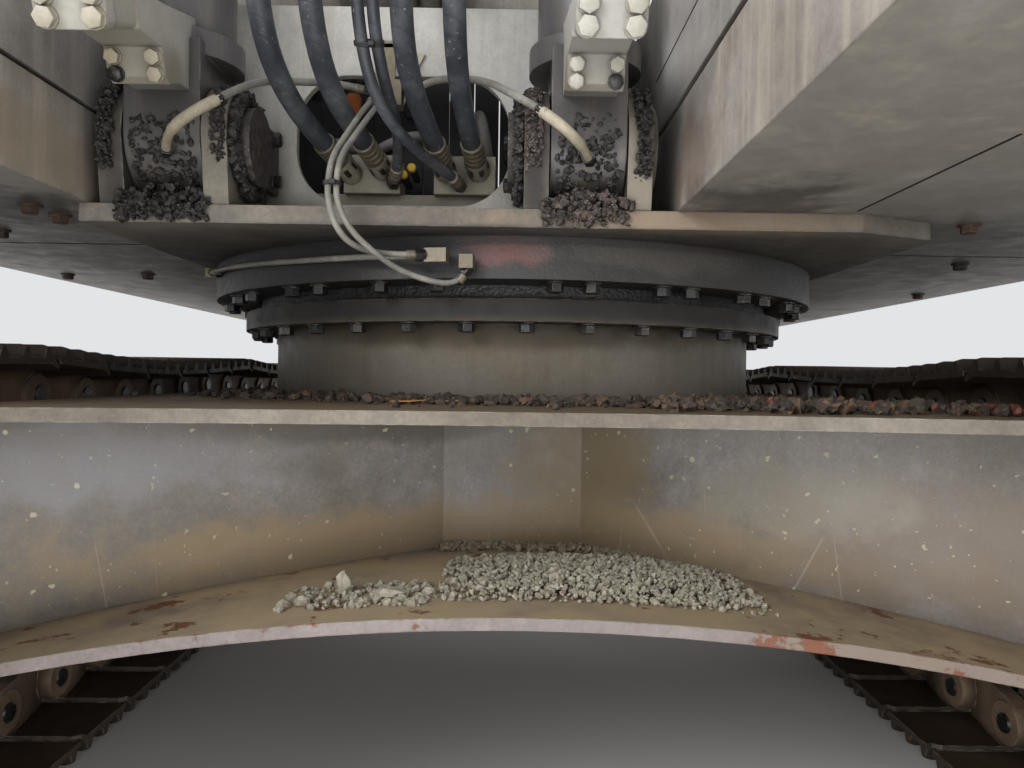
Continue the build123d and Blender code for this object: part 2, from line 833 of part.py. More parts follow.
def make_swing_drive():
    drive = rod_z(swing_flange_radius, floor_top, floor_top + swing_flange_thickness, swing_x, swing_y)
    gear_top = floor_top + swing_flange_thickness + swing_gear_height
    drive += rod_z(swing_gear_radius, floor_top, gear_top, swing_x, swing_y)
    drive += rod_z(swing_motor_radius, gear_top, gear_top + swing_motor_height, swing_x, swing_y)
    return drive


# Boom cylinders, upright on their feet as the raised boom leaves them

def make_barrel():
    eye = disc(eye_radius, foot_pin_y, foot_pin_z)
    neck_z = foot_pin_z + neck_top
    eye += polygon([
        (foot_pin_y - eye_radius, foot_pin_z), (foot_pin_y + eye_radius, foot_pin_z),
        (foot_pin_y + neck_back, neck_z), (foot_pin_y - eye_radius, neck_z)])
    half = eye_width / 2
    body = side_profile(eye, -half, half)
    collar_z = neck_z - collar_below_neck
    body += rod_z(collar_radius, collar_z, collar_z + collar_height, 0, foot_pin_y)
    top = neck_z + barrel_length
    body += rod_z(barrel_radius, neck_z, top, 0, foot_pin_y)
    body += rod_z(gland_radius, top, top + gland_height, 0, foot_pin_y)
    body -= rod_x(foot_pin_radius + pin_gap, -bore_reach, bore_reach, foot_pin_y, foot_pin_z)
    body -= rod_z(rod_radius + pin_gap, neck_z + cylinder_floor, top + gland_height + 1, 0, foot_pin_y)
    return body


def make_rod():
    top = foot_pin_z + cylinder_closed
    neck_z = foot_pin_z + neck_top
    rod = rod_z(rod_radius, neck_z + cylinder_floor + rod_end_gap, top, 0, foot_pin_y)
    half = rod_eye_width / 2
    rod += rod_x(rod_eye_radius, -half, half, foot_pin_y, top)
    return rod - rod_x(rod_eye_bore, -bore_reach, bore_reach, foot_pin_y, top)


def make_valve_block():
    """Port plate on the neck, a bridge and the block that stands out in front of it."""
    width, depth, height = port_plate
    back = foot_pin_y - eye_radius
    front = back - depth
    block = box(-width / 2, width / 2, front, back, port_plate_z, port_plate_z + height)
    b_width, b_depth, b_height = valve_bridge
    bridge_back = foot_pin_y - collar_radius - seat_gap
    bridge_z = port_plate_z + height - valve_bridge_lap
    block += box(-b_width / 2, b_width / 2, front - b_depth, bridge_back, bridge_z, bridge_z + b_height)
    v_width, v_depth, v_height = valve_block
    v_back = front - b_depth + valve_block_lap
    block += box(-v_width / 2, v_width / 2, v_back - v_depth, v_back, valve_block_z, valve_block_z + v_height)
    return block


# Hoses and lines. Each route is chosen by hand: (x, y, z) of its corners

hose_routes = {
    "hose_1": ((-376, -650, 1356), (-408, -752, 1386), (-428, -862, 1416), (-436, -965, 1466),
               (-434, -1035, 1552), (-420, -1050, 1668), (-405, -990, 1775), (-398, -880, 1846),
               (-392, -760, 1868), (-390, -640, 1850), (-390, -540, 1800)),
    "hose_2": ((-302, -650, 1362), (-322, -750, 1386), (-341, -858, 1412), (-349, -962, 1462),
               (-348, -1038, 1550), (-340, -1056, 1672), (-330, -996, 1782), (-322, -884, 1854),
               (-317, -762, 1876), (-315, -640, 1856), (-315, -540, 1800)),
    "hose_3": ((-161, -650, 1360), (-174, -752, 1384), (-192, -860, 1418), (-201, -962, 1470),
               (-197, -1040, 1554), (-194, -1058, 1670), (-196, -1000, 1780), (-200, -886, 1850),
               (-202, -764, 1872), (-202, -640, 1852), (-202, -540, 1800)),
    "hose_4": ((-88, -650, 1362), (-98, -752, 1388), (-109, -862, 1428), (-112, -960, 1476),
               (-110, -1032, 1554), (-108, -1048, 1664), (-112, -988, 1770), (-120, -878, 1842),
               (-126, -760, 1864), (-128, -640, 1848), (-128, -540, 1800)),
}


def smooth_path(points):
    """Straight runs joined by tangent arcs, each as large as its two runs allow."""
    radii = []
    for before, corner, after in zip(points, points[1:], points[2:]):
        into = Vector(*corner) - Vector(*before)
        out = Vector(*after) - Vector(*corner)
        turn = math.radians(into.get_angle(out))
        radii.append(0.45 * min(into.length, out.length) / math.tan(turn / 2))
    return FilletPolyline(*points, radius=radii), radii


def make_hose(name, points, radius):
    path, radii = smooth_path(points)
    start = Plane(origin=path @ 0, z_dir=path % 0)
    tube = sweep(start * Circle(radius), path=path)
    expected = math.pi * radius ** 2 * path.length
    print(name, "length", round(path.length), "smallest radius", round(min(radii)),
          "volume share", round(tube.volume / expected, 4))
    return tube


def ferrule(points, radius, length, at_end=False):
    """The sleeve and nut on one end of a hose, in line with its first or last run."""
    if at_end:
        points = points[::-1]
    start = Vector(*points[0])
    back = (start - Vector(*points[1])).normalized()
    return Plane(origin=start, z_dir=back) * Pos(0, 0, length / 2) * Cylinder(radius, length)


def make_manifold():
    """Two port blocks on a bar behind the opening, with the hose ends on them."""
    y0 = manifold_y - manifold_depth / 2
    y1 = manifold_y + manifold_depth / 2
    x0 = boom_x - main_inner
    x1 = boom_x + main_inner
    body = box(x0, x1, manifold_y - rail_bar_depth / 2, manifold_y + rail_bar_depth / 2,
               rail_bar_z, rail_bar_z + rail_bar_height)
    for start, width in manifold_blocks:
        body += box(start, start + width, y0, y1, manifold_z - port_block_seat, manifold_z + manifold_height)
    for points in hose_routes.values():
        body += ferrule(points, ferrule_radius, ferrule_length)
    return body


def make_hose_bar():
    """Cross bar between the main plates that clamps the four hoses, and their plugged ends."""
    x0 = boom_x - main_inner
    x1 = boom_x + main_inner
    bar = box(x0, x1, hose_bar_y, hose_bar_y + hose_bar_depth, *hose_bar_z)
    for points in hose_routes.values():
        bar += ferrule(points, ferrule_radius, clamp_ferrule_length, at_end=True)
    return bar


def main():
    save_pair(make_track(), "track")
    save_pair(make_sprocket(), "sprocket")
    save_pair(make_final_drive(), "final_drive")
    save_pair(make_idler(), "idler")
    rollers = make_rollers()
    save(Compound(children=rollers), "rollers_left")
    save(Compound(children=[mirrored(roller) for roller in rollers]), "rollers_right")
    save_pair(make_track_frame(), "track_frame")
    top, bottom, webs = make_carbody()
    save(top, "carbody_top_plate")
    save(bottom, "carbody_bottom_plate")
    save(webs, "carbody_webs")
    save(make_turret(), "turret")
    save(make_inner_race(), "slew_inner_race")
    save(make_swivel(), "swivel_joint")
    save(make_outer_race(), "slew_outer_race")
    save(make_floor(), "floor_plate")
    ear = make_inner_ear()
    for side, sign in (("left", 1), ("right", -1)):
        save(Pos(boom_x + sign * main_plate_offset, 0, 0) * make_main_plate(sign), "main_plate_" + side)
        save(Pos(boom_x + sign * inner_ear_offset, 0, 0) * ear, "cylinder_ear_" + side)
    pin = make_foot_pin()
    save(Pos(boom_x - cylinder_offset, 0, 0) * pin, "cylinder_pin_right")
    save(Pos(boom_x + cylinder_offset, 0, 0) * mirrored(pin), "cylinder_pin_left")
    save(make_cross_plate(), "front_cross_plate")
    save(make_rear_cross(), "rear_cross_plate")
    save(make_tail_plate(), "tail_plate")
    save(make_cab_deck(), "cab_deck")
    save(make_cab_base(), "cab_floor_pan")
    save(make_tool_deck(), "tool_deck")
    save(make_tool_box(), "tool_box")
    save(make_tail_deck(), "tail_deck")
    save(Compound(children=make_outriggers()), "outriggers")
    save(make_swing_drive(), "swing_drive")
    save(make_manifold(), "hose_manifold")
    save(make_hose_bar(), "hose_bar")
    for name, points in hose_routes.items():
        save(make_hose(name, points, hose_radius), name)
    for side, x in (("left", boom_x + cylinder_offset), ("right", boom_x - cylinder_offset)):
        save(Pos(x, 0, 0) * make_barrel(), "cylinder_barrel_" + side)
        save(Pos(x, 0, 0) * make_rod(), "cylinder_rod_" + side)
        save(Pos(x, 0, 0) * make_valve_block(), "valve_block_" + side)


main()
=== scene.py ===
import random
from math import atan2, cos, hypot, pi, radians, sin, sqrt

import bmesh
import bpy
from mathutils import Matrix, Vector, noise


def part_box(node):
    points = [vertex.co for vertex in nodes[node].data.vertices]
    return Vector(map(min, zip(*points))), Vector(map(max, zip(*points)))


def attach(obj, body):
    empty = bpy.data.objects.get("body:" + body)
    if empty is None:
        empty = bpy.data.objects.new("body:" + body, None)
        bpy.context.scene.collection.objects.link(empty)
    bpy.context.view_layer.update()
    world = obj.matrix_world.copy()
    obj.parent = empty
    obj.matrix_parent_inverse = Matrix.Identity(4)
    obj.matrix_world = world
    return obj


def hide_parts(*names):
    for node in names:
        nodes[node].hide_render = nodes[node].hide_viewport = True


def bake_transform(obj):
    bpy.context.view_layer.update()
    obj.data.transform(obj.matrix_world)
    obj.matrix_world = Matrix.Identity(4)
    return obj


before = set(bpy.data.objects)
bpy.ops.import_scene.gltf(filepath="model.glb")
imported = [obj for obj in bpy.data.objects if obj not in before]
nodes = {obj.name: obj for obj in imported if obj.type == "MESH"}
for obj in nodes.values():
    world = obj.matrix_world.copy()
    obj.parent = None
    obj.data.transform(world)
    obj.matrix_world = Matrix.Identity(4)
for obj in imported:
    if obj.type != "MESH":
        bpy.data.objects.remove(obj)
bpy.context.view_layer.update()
both_sides = {"left": 1, "right": -1}

# Camera at the photo's place, in metres and radians
camera_place = (-0.0155, -2.3054, 0.9017)
camera_yaw = 0.0070
camera_pitch = -0.0086
camera_roll = 0.0136
focal_pixels = 779.56
image_width = 1024
sensor_width = 36

# Slewing ring
lower_bolt_count = 36
lower_bolt_circle = 0.715
lower_bolt_phase = 2.0
upper_bolt_circle = 0.785
upper_bolts_in_front = (-57, -50, -37.5, -31.3, -20.3, -11.4, 5.6, 11.0, 22.2, 27.4, 39.2, 45.2, 56, 61.5)
upper_pair_angles = range(78, 291, 17)
upper_pair_spread = 5.6
turret_flange = 0.046

# Tracks
link_pitch = 0.216
link_count = 48
sprocket_teeth = 22
wheelbase = (link_count - sprocket_teeth / 2) * link_pitch / 2
pitch_radius = link_pitch * sprocket_teeth / (4 * pi)
low_pin_z = 0.104
upper_run_sag = 0.026
carrier_count = 2
gauge_half = 1.295
shoe_half = 0.300
plate_in = 0.062
plate_out = 0.076
grouser_shoulder = 0.098
grouser_out = 0.104
grouser_places = (-0.074, 0, 0.074)
shoe_bolt_places = (-0.037, 0.037)
rail_offset = 0.0885
link_jog = 0.019

# Boom cylinders
boom_x = -0.2555
cylinder_offset = 0.3825
foot_pin = Vector((0, -0.800, 1.335))
ear_face_reach = 0.121
valve_lean = 22

# Carbody
arch_radius = 5.0
web_middle_y = -0.600
web_flat_half = 0.150
web_slope = 0.56

# Block that shares the grease out, the pieces of its strap, and the unions the thin lines end in
grease_block_place = Vector((-0.259, -0.732, 1.465))
grease_block_half = Vector((0.027, 0.020, 0.025))
strap_corners = (((-0.290, -0.720, 1.462), (-0.250, -0.712, 1.574)),
                 ((-0.290, -0.720, 1.566), (-0.250, -0.650, 1.574)),
                 ((-0.290, -0.6585, 1.566), (-0.250, -0.650, 1.606)))
ring_union_places = (((-0.149, -0.845, 1.127), (0.042, 0.030, 0.026)),
                     ((-0.093, -0.842, 1.117), (0.026, 0.026, 0.026)))
rim_union_place = ((-0.742, -0.394, 1.146), (0.022, 0.022, 0.022))

# Share of a bolt head's width that its top edge is turned down by
head_chamfer = 0.12

# Ties: centre, direction of the lines, half their spread, and radius
ties = (((-0.2610, -0.9505, 1.4765), (-0.06, -0.60, 0.80), 0.0125, 0.0125),
        ((-0.3205, -0.9600, 1.2310), (0.0, 0.10, 1.0), 0.0070, 0.0070))


def srgb(red, green, blue):
    """A colour as the eye reads it, each part from 0 to 255, for a shader."""
    parts = []
    for part in (red, green, blue):
        part /= 255
        parts.append(part / 12.92 if part <= 0.04045 else ((part + 0.055) / 1.055) ** 2.4)
    return (*parts, 1)


class Graph:
    """A node tree, built call by call. A value is a number, a colour for the eye or another node's socket."""

    def __init__(self, tree):
        self.tree = tree
        tree.nodes.clear()

    def put(self, socket, value):
        if isinstance(value, bpy.types.NodeSocket):
            self.tree.links.new(value, socket)
        elif value is not None:
            socket.default_value = srgb(*value) if socket.type == "RGBA" else value

    def add(self, kind, values, output=0, **settings):
        """A node with some inputs set, by their number or name. Returns one output."""
        node = self.tree.nodes.new("ShaderNode" + kind)
        for key, setting in settings.items():
            setattr(node, key, setting)
        for key, value in values.items():
            self.put(node.inputs[key], value)
        return node.outputs[output] if node.outputs else None

    def math(self, operation, first, second=0.0):
        return self.add("Math", {0: first, 1: second}, operation=operation)

    def times(self, first, second):
        return self.math("MULTIPLY", first, second)

    def plus(self, first, second):
        return self.math("ADD", first, second)

    def vector(self, operation, first, second, output=0):
        return self.add("VectorMath", {0: first, 1: second}, output, operation=operation)

    def mix(self, share, first, second, blend="MIX"):
        values = {0: share, 6: first, 7: second}
        return self.add("Mix", values, 2, data_type="RGBA", blend_type=blend)

    def band(self, value, start, end, low=0.0, high=1.0):
        """A smooth step from low at start to high at end."""
        values = {0: value, 1: start, 2: end, 3: low, 4: high}
        return self.add("MapRange", values, interpolation_type="SMOOTHSTEP")

    def tint(self, colour, mask, share, paint):
        """A colour with some of a paint over it where the mask is 1."""
        return self.mix(self.times(mask, share), colour, paint)

    def grain(self, share, colour, source):
        """A colour made darker and lighter by a noise."""
        return self.mix(share, colour, self.mix(source, (0, 0, 0), (255, 255, 255)), "OVERLAY")


class Finish(Graph):
    """A material's node tree."""

    def __init__(self, name):
        self.material = bpy.data.materials.new(name)
        self.material.use_nodes = True
        super().__init__(self.material.node_tree)
        coordinates = self.add("TexCoord", {}).node.outputs
        self.place = coordinates["Object"]
        self.normal = coordinates["Normal"]

    def stretched(self, stretch, shift=0.0):
        place = self.vector("MULTIPLY", self.place, stretch)
        return self.vector("ADD", place, (shift, shift, shift)) if shift else place

    def noise(self, scale, detail=3, rough=0.55, stretch=(1, 1, 1), shift=0.0):
        place = self.stretched(stretch, shift)
        values = {"Vector": place, "Scale": scale, "Detail": detail, "Roughness": rough}
        return self.add("TexNoise", values)

    def cells(self, scale, output="Distance", stretch=(1, 1, 1), feature="F1"):
        values = {"Vector": self.stretched(stretch), "Scale": scale}
        return self.add("TexVoronoi", values, output, feature=feature)

    def along(self, axis, source=None):
        return self.add("SeparateXYZ", {0: source or self.place}, axis)

    def shade_mask(self, reach):
        """0 in the open and towards 1 in corners and gaps, where shade falls: the mask for painted shade."""
        open_share = self.add("AmbientOcclusion", {"Distance": reach}, "AO", samples=4)
        return self.math("SUBTRACT", 1.0, open_share)

    def rounded(self, radius):
        """The normal of softened edges, and a mask of those edges."""
        soft = self.add("Bevel", {"Radius": radius}, samples=4)
        sharp = self.add("NewGeometry", {}, "Normal")
        return soft, self.band(self.vector("DOT_PRODUCT", soft, sharp, "Value"), 0.99, 0.80)

    def zone(self, centre, radii, ragged):
        """1 around a place, down to 0 at a ragged border."""
        offset = self.vector("DIVIDE", self.vector("SUBTRACT", self.place, centre), radii)
        distance = self.add("VectorMath", {0: offset}, "Value", operation="LENGTH")
        wander = self.times(self.math("SUBTRACT", self.noise(9, 5, 0.65), 0.5), ragged * 2)
        return self.band(self.plus(distance, wander), 1.0, 0.45)

    def bump(self, height, strength, reach, normal=None):
        values = {"Strength": strength, "Distance": reach, "Height": height, "Normal": normal}
        return self.add("Bump", values)

    def fill(self, colour, rough, normal=None, gloss=None, metal=None):
        """Puts the values on the shader and gives back the material."""
        values = {"Base Color": colour, "Metallic": metal, "Roughness": rough, "Specular IOR Level": gloss,
                  "Normal": normal}
        self.add("OutputMaterial", {0: self.add("BsdfPrincipled", values)})
        return self.material


rust_dark = (84, 48, 34)
rust_light = (126, 82, 60)
fleck_paint = (196, 188, 158)
scratch_paint = (186, 182, 178)


def filled(given, *usual):
    """A share, alone or with some of what goes with it, and the usual values for the rest."""
    given = given if isinstance(given, tuple) else (given,)
    return (*given, *usual[len(given) - 1:])


def worn(name, paint, shade, rough=0.55, metal=0.0, gloss=0.3, broad=1.6, mottle=0.35, streak=0.0, dust=0.0,
         grime_and_shade=0.5, rust=0.0, edge=0.35, spots=0.0, scratches=0.0, grit=0.25, zones=()):
    """Worn painted steel. Shares run from 0 to 1, sizes are in metres and scales in waves a metre.

    What may go with a share: a scale with mottle, rust and grit, a paint with streak and dust, a reach and
    a paint with the grime and painted shade in corners and gaps, and a size and a paint with edge.
    """
    mottle, mottle_scale = filled(mottle, 22)
    streak, streak_paint = filled(streak, shade)
    dust, dust_paint = filled(dust, (168, 148, 118))
    grime_and_shade, grime_and_shade_reach, grime_and_shade_paint = filled(grime_and_shade, 0.07, (40, 35, 30))
    rust, rust_scale = filled(rust, 16)
    edge, edge_size, edge_paint = filled(edge, 0.004, (190, 184, 176))
    grit, grit_scale = filled(grit, 260)
    g = Finish(name)
    soft_normal, edges = g.rounded(edge_size)
    fine = g.noise(mottle_scale, 6, 0.65)
    colour = g.mix(g.band(g.noise(broad, 4), 0.38, 0.62), paint, shade)
    colour = g.grain(mottle, colour, fine)
    speck = g.noise(grit_scale * 0.55, 3, 0.7, shift=3.1)
    colour = g.grain(mottle * 0.6, colour, speck)
    if streak:
        lines = g.noise(26, 5, 0.6, stretch=(1, 1, 0.05))
        colour = g.tint(colour, g.band(lines, 0.45, 0.72), streak, streak_paint)
    for centre, radii, tint, share, ragged in zones:
        colour = g.tint(colour, g.zone(centre, radii, ragged), share, tint)
    if dust:
        upward = g.band(g.along(2, g.normal), 0.35, 0.9)
        settled = g.band(g.noise(7, 5, 0.6, shift=1.7), 0.2, 0.6)
        colour = g.tint(colour, g.times(upward, settled), dust, dust_paint)
    height = g.times(speck, grit)
    # Grime and painted shade: darker in corners and gaps, where shade falls, in patches by the fine noise
    if grime_and_shade:
        dark = g.band(g.times(g.shade_mask(grime_and_shade_reach), g.band(fine, 0.1, 0.6, 0.7, 1.3)), 0.18, 0.75)
        colour = g.tint(colour, dark, grime_and_shade, grime_and_shade_paint)
    if spots:
        cell = g.cells(30)
        pick = g.band(g.along(0, g.cells(30, "Color")), 1 - spots, 1 - spots + 0.02)
        ragged = g.plus(cell, g.times(g.noise(90, 3), 0.5))
        spot = g.times(g.band(ragged, 0.41, 0.36), pick)
        flecks = g.band(g.noise(75, 2, 0.5, shift=11), 0.70, 0.73)
        spot = g.math("MAXIMUM", spot, g.times(flecks, 0.7))
        colour = g.tint(colour, spot, 0.65, fleck_paint)
        height = g.plus(height, g.times(spot, 0.5))
    if scratches:
        line = g.cells(4.5, stretch=(1, 1, 0.18), feature="DISTANCE_TO_EDGE")
        seen = g.band(g.noise(3.3, 4, shift=5), 1 - scratches * 0.62, 1.02 - scratches * 0.5)
        colour = g.tint(colour, g.times(g.band(line, 0.005, 0.002), seen), 0.2, scratch_paint)
    worn_edge = g.times(edges, g.band(g.noise(34, 4, shift=2), 0.4, 0.62))
    colour = g.tint(colour, worn_edge, edge, edge_paint)
    if rust:
        eaten = g.plus(g.noise(rust_scale, 8, 0.68, shift=8), g.times(edges, 0.07))
        patch = g.band(eaten, 0.74 - rust * 0.3, 0.78 - rust * 0.3)
        colour = g.mix(patch, colour, g.mix(fine, rust_dark, rust_light))
        height = g.plus(height, g.times(patch, -0.6))
    height = g.plus(height, g.times(fine, 0.5))
    return g.fill(colour, g.band(fine, 0.2, 0.8, rough - 0.1, rough + 0.15),
                  g.bump(height, 0.6, 0.0016, soft_normal), gloss, metal)


def crusted(name, dark, pale, speckle, scale, gloss, relief=0.002, rough=0.6):
    """Old grease with grit in it: a lumpy coat, with pale grains on top and painted shade in its gaps."""
    g = Finish(name)
    lumps = g.noise(scale * 0.35, 6, 0.7)
    grains = g.cells(scale)
    colour = g.mix(g.band(lumps, 0.35, 0.7), dark, g.mix(0.5, dark, pale))
    pick = g.band(g.along(0, g.cells(scale, "Color")), 1 - speckle, 1 - speckle + 0.05)
    grain = g.times(g.band(grains, 0.42, 0.25), pick)
    colour = g.mix(grain, colour, pale)
    # Painted shade: near black in the gaps between lumps and in corners, where shade falls
    colour = g.tint(colour, g.band(g.shade_mask(0.03), 0.2, 0.8), 0.7, (14, 13, 14))
    height = g.math("SUBTRACT", g.plus(lumps, g.times(grain, 0.35)), g.times(grains, 0.4))
    roughness = g.band(lumps, 0.3, 0.7, rough - 0.15, rough + 0.15)
    return g.fill(colour, roughness, g.bump(height, 0.9, relief), gloss)


def stone(name, first, second, third):
    """Loose stones and crumbs, each a little different."""
    g = Finish(name)
    each = g.add("NewGeometry", {}, "Random Per Island")
    colour = g.mix(g.band(each, 0.1, 0.6), first, second)
    colour = g.mix(g.band(each, 0.7, 1.0), colour, third)
    grain = g.noise(300, 3, 0.7)
    return g.fill(g.grain(0.3, colour, grain), 0.85, g.bump(grain, 0.5, 0.001), 0.2)


def rubber(name, tint, dusty, bands=42):
    """Hose cover with faint wrapped bands, and dust in patches."""
    g = Finish(name)
    smear = g.noise(14, 5, 0.6)
    colour = g.mix(g.band(smear, 0.4, 0.75), tint, dusty)
    streaks = g.noise(60, 3, 0.6, stretch=(1, 1, 0.25))
    colour = g.grain(0.3, colour, streaks)
    flecks = g.band(g.noise(130, 3, 0.6, shift=4), 0.66, 0.72)
    colour = g.tint(colour, flecks, 0.5, (170, 168, 160))
    slant = g.plus(g.along(2), g.times(g.along(0), 0.35))
    ridge = g.band(g.math("SINE", g.times(slant, bands * 2 * pi)), 0.80, 1.0)
    colour = g.tint(colour, ridge, 0.35, tint)
    height = g.plus(g.times(ridge, -0.5), g.times(streaks, 0.25))
    return g.fill(colour, g.band(smear, 0.3, 0.7, 0.38, 0.62), g.bump(height, 0.5, 0.0012), 0.4)


def chrome(name):
    g = Finish(name)
    film = g.noise(9, 4, 0.6, stretch=(1, 1, 0.15))
    return g.fill(g.mix(film, (196, 196, 200), (150, 148, 146)), g.band(film, 0.3, 0.7, 0.12, 0.3), metal=1.0)


# Colours read from the photo as the eye sees them. The zones marked as painted shade, shadow or reflection,
# and the darkening of corners and gaps, paint light and shade into them. A zone is a centre, radii, paint,
# share and how ragged its border is
web_steel = worn(
    "web_steel", (138, 134, 131), (112, 106, 98), rough=0.45, broad=1.9, mottle=0.6, dust=0.8,
    streak=(0.35, (120, 110, 94)), grime_and_shade=(0.6, 0.16, (74, 66, 54)), spots=0.28, scratches=0.8, rust=0.05,
    grit=0.4, zones=(((0.0, -0.75, 0.56), (1.2, 0.5, 0.10), (142, 122, 92), 0.8, 0.7),
                     # Painted reflection: a pale bluish sheen of sky on the web's left side
                     ((-0.8, -0.9, 0.74), (0.50, 0.6, 0.10), (140, 140, 146), 0.5, 0.9),
                     ((0.15, -0.62, 0.68), (0.20, 0.25, 0.22), (132, 116, 88), 0.7, 0.6),
                     ((0.80, -1.0, 0.60), (0.5, 0.6, 0.16), (112, 100, 88), 0.75, 0.8),
                     ((0.55, -0.8, 0.66), (0.22, 0.4, 0.10), (148, 142, 128), 0.5, 0.9),
                     # Painted shade: a darker band along the web's top, under the overhanging top plate
                     ((-0.30, -0.7, 0.80), (0.50, 0.5, 0.05), (84, 78, 70), 0.6, 0.8)))
top_plate_steel = worn("top_plate_steel", (122, 115, 105), (100, 92, 82), dust=(1.0, (104, 88, 68)),
                       rust=0.04, edge=0.5, grit=0.7, mottle=0.6)
bottom_plate_steel = worn(
    "bottom_plate_steel", (124, 115, 112), (108, 99, 94), dust=(0.95, (160, 142, 112)), grime_and_shade=0.3,
    rust=(0.50, 11), edge=0.25, mottle=0.5, grit=0.5,
    zones=(((0.75, -0.9, 0.50), (0.55, 0.6, 0.16), (118, 104, 92), 0.8, 0.8),
           # Painted shadow: a darker strip on the lower plate along the web's foot
           ((0.20, -0.66, 0.53), (0.34, 0.13, 0.06), (98, 86, 72), 0.8, 0.7)))
turret_steel = worn(
    "turret_steel", (122, 116, 106), (110, 100, 84), mottle=0.4, grime_and_shade=(0.75, 0.12, (44, 38, 32)), dust=0.5,
    rough=0.5, streak=(0.35, (92, 82, 66)),
    # Painted shadow: the turret's top darker at the front, under its flange
    zones=(((0.0, -0.67, 1.0), (0.9, 0.4, 0.05), (84, 74, 58), 0.8, 0.5),
           # Partly the flange's own greasy black, partly painted shadow just under it
           ((0.0, 0.0, 1.052), (2.5, 2.5, 0.058), (38, 36, 35), 0.97, 0.1),
           ((0.0, -0.67, 0.86), (0.9, 0.4, 0.04), (128, 120, 108), 0.5, 0.6)))
ring_steel = worn(
    "ring_steel", (54, 51, 49), (38, 36, 35), rough=0.42, mottle=(0.7, 60), grime_and_shade=(0.6, 0.07, (18, 17, 17)),
    edge=(0.3, 0.004, (120, 114, 106)), grit=(0.9, 300), gloss=0.6,
    zones=(((-0.01, -0.82, 1.145), (0.10, 0.1, 0.045), (124, 74, 68), 0.6, 1.2),
           ((0.30, -0.76, 1.145), (0.40, 0.2, 0.04), (84, 79, 72), 0.6, 0.9),
           # Painted shadow: a near-black band along the race's top, under the floor plate
           ((0.0, -0.82, 1.165), (0.9, 0.5, 0.014), (30, 28, 28), 0.7, 0.4)))
grease_black = crusted("grease_black", (16, 15, 16), (66, 62, 60), 0.10, 140, 0.6, relief=0.004, rough=0.42)
floor_steel = worn(
    "floor_steel", (124, 118, 109), (98, 91, 83), rough=0.6, mottle=0.6, dust=0.6, rust=0.03, edge=0.3,
    # Painted shade: the floor plate's underside and lower edge darker
    grit=0.5, zones=(((0.0, -0.4, 1.17), (1.1, 0.9, 0.014), (62, 60, 58), 0.9, 0.4),
                     ((0.3, -0.9, 1.19), (0.4, 0.1, 0.03), (150, 128, 106), 0.5, 0.8)))
frame_steel = worn(
    "frame_steel", (138, 133, 124), (112, 106, 98), mottle=0.5, grime_and_shade=(0.75, 0.12), dust=0.6, rust=0.05,
    grit=0.6, edge=0.4, zones=(((0.22, -0.80, 1.32), (0.06, 0.2, 0.24), (138, 130, 114), 0.8, 0.5),
                               ((-0.73, -0.80, 1.32), (0.06, 0.24, 0.25), (62, 59, 57), 0.9, 0.5)))
cross_steel = worn("cross_steel", (196, 194, 188), (172, 168, 160), mottle=0.3, streak=(0.5, (140, 134, 122)),
                   grime_and_shade=0.6, rust=(0.06, 30), edge=0.2, grit=0.35)
ear_steel = worn("ear_steel", (126, 120, 108), (92, 86, 78), mottle=0.5, grime_and_shade=(0.9, 0.05), grit=0.8,
                 edge=0.25, zones=(((0.03, -0.86, 1.30), (0.05, 0.12, 0.2), (44, 41, 40), 0.95, 0.4),))
pin_steel = crusted("pin_steel", (44, 40, 40), (112, 104, 98), 0.15, 180, 0.4)
barrel_steel = worn(
    "barrel_steel", (84, 81, 83), (70, 67, 66), rough=0.36, mottle=0.25, streak=(0.4, (120, 112, 100)),
    grime_and_shade=0.6, edge=(0.4, 0.004, (176, 160, 136)), gloss=0.5, grit=0.15,
    # Grease and painted shade: the eye darker towards the pin, between the ears and under the valve
    zones=(((boom_x, -0.80, 1.335), (0.6, 0.135, 0.135), (50, 47, 45), 0.95, 0.3),))
valve_paint = worn(
    "valve_paint", (172, 170, 163), (150, 146, 134), rough=0.5, mottle=0.2, rust=0.03,
    edge=(0.3, 0.004, (150, 120, 100)),
    zones=(((boom_x, -0.975, 1.41), (0.6, 0.075, 0.080), (126, 119, 104), 0.95, 0.3),))
deck_paint = worn(
    "deck_paint", (164, 158, 152), (138, 131, 123), rough=0.45, mottle=0.45, streak=(0.6, (184, 174, 158)),
    grime_and_shade=0.6, dust=0.5, rust=0.03, edge=0.3,
    zones=(((0.29, -1.0, 1.28), (0.06, 0.22, 0.09), (118, 96, 84), 0.55, 0.9),
           ((-0.78, -1.0, 1.26), (0.06, 0.9, 0.08), (142, 128, 108), 0.6, 0.9),
           # Painted shade: the decks' undersides darker than their walls
           ((0.0, -0.5, 1.20), (3.0, 3.0, 0.012), (120, 116, 109), 0.9, 0.3),
           ((0.42, -0.95, 1.205), (0.16, 0.22, 0.05), (70, 66, 62), 0.75, 1.0),
           ((0.90, -0.72, 1.205), (0.30, 0.16, 0.05), (96, 90, 82), 0.6, 1.1),
           ((1.15, -0.25, 1.205), (0.40, 0.30, 0.05), (104, 98, 90), 0.6, 1.1),
           ((-0.95, -0.85, 1.205), (0.22, 0.20, 0.05), (58, 55, 52), 0.8, 1.0),
           ((-1.15, -0.20, 1.205), (0.40, 0.45, 0.05), (98, 92, 84), 0.6, 1.1)))
cab_paint = worn("cab_paint", (158, 154, 150), (136, 131, 126), rough=0.45, mottle=0.4,
                 streak=(0.5, (176, 170, 160)), rust=0.02, edge=0.3, grit=0.2)
frame_paint = worn("frame_paint", (92, 82, 72), (72, 62, 54), mottle=0.5, grime_and_shade=(0.7, 0.12), dust=0.9,
                   rust=0.12, grit=0.7, edge=0.4)
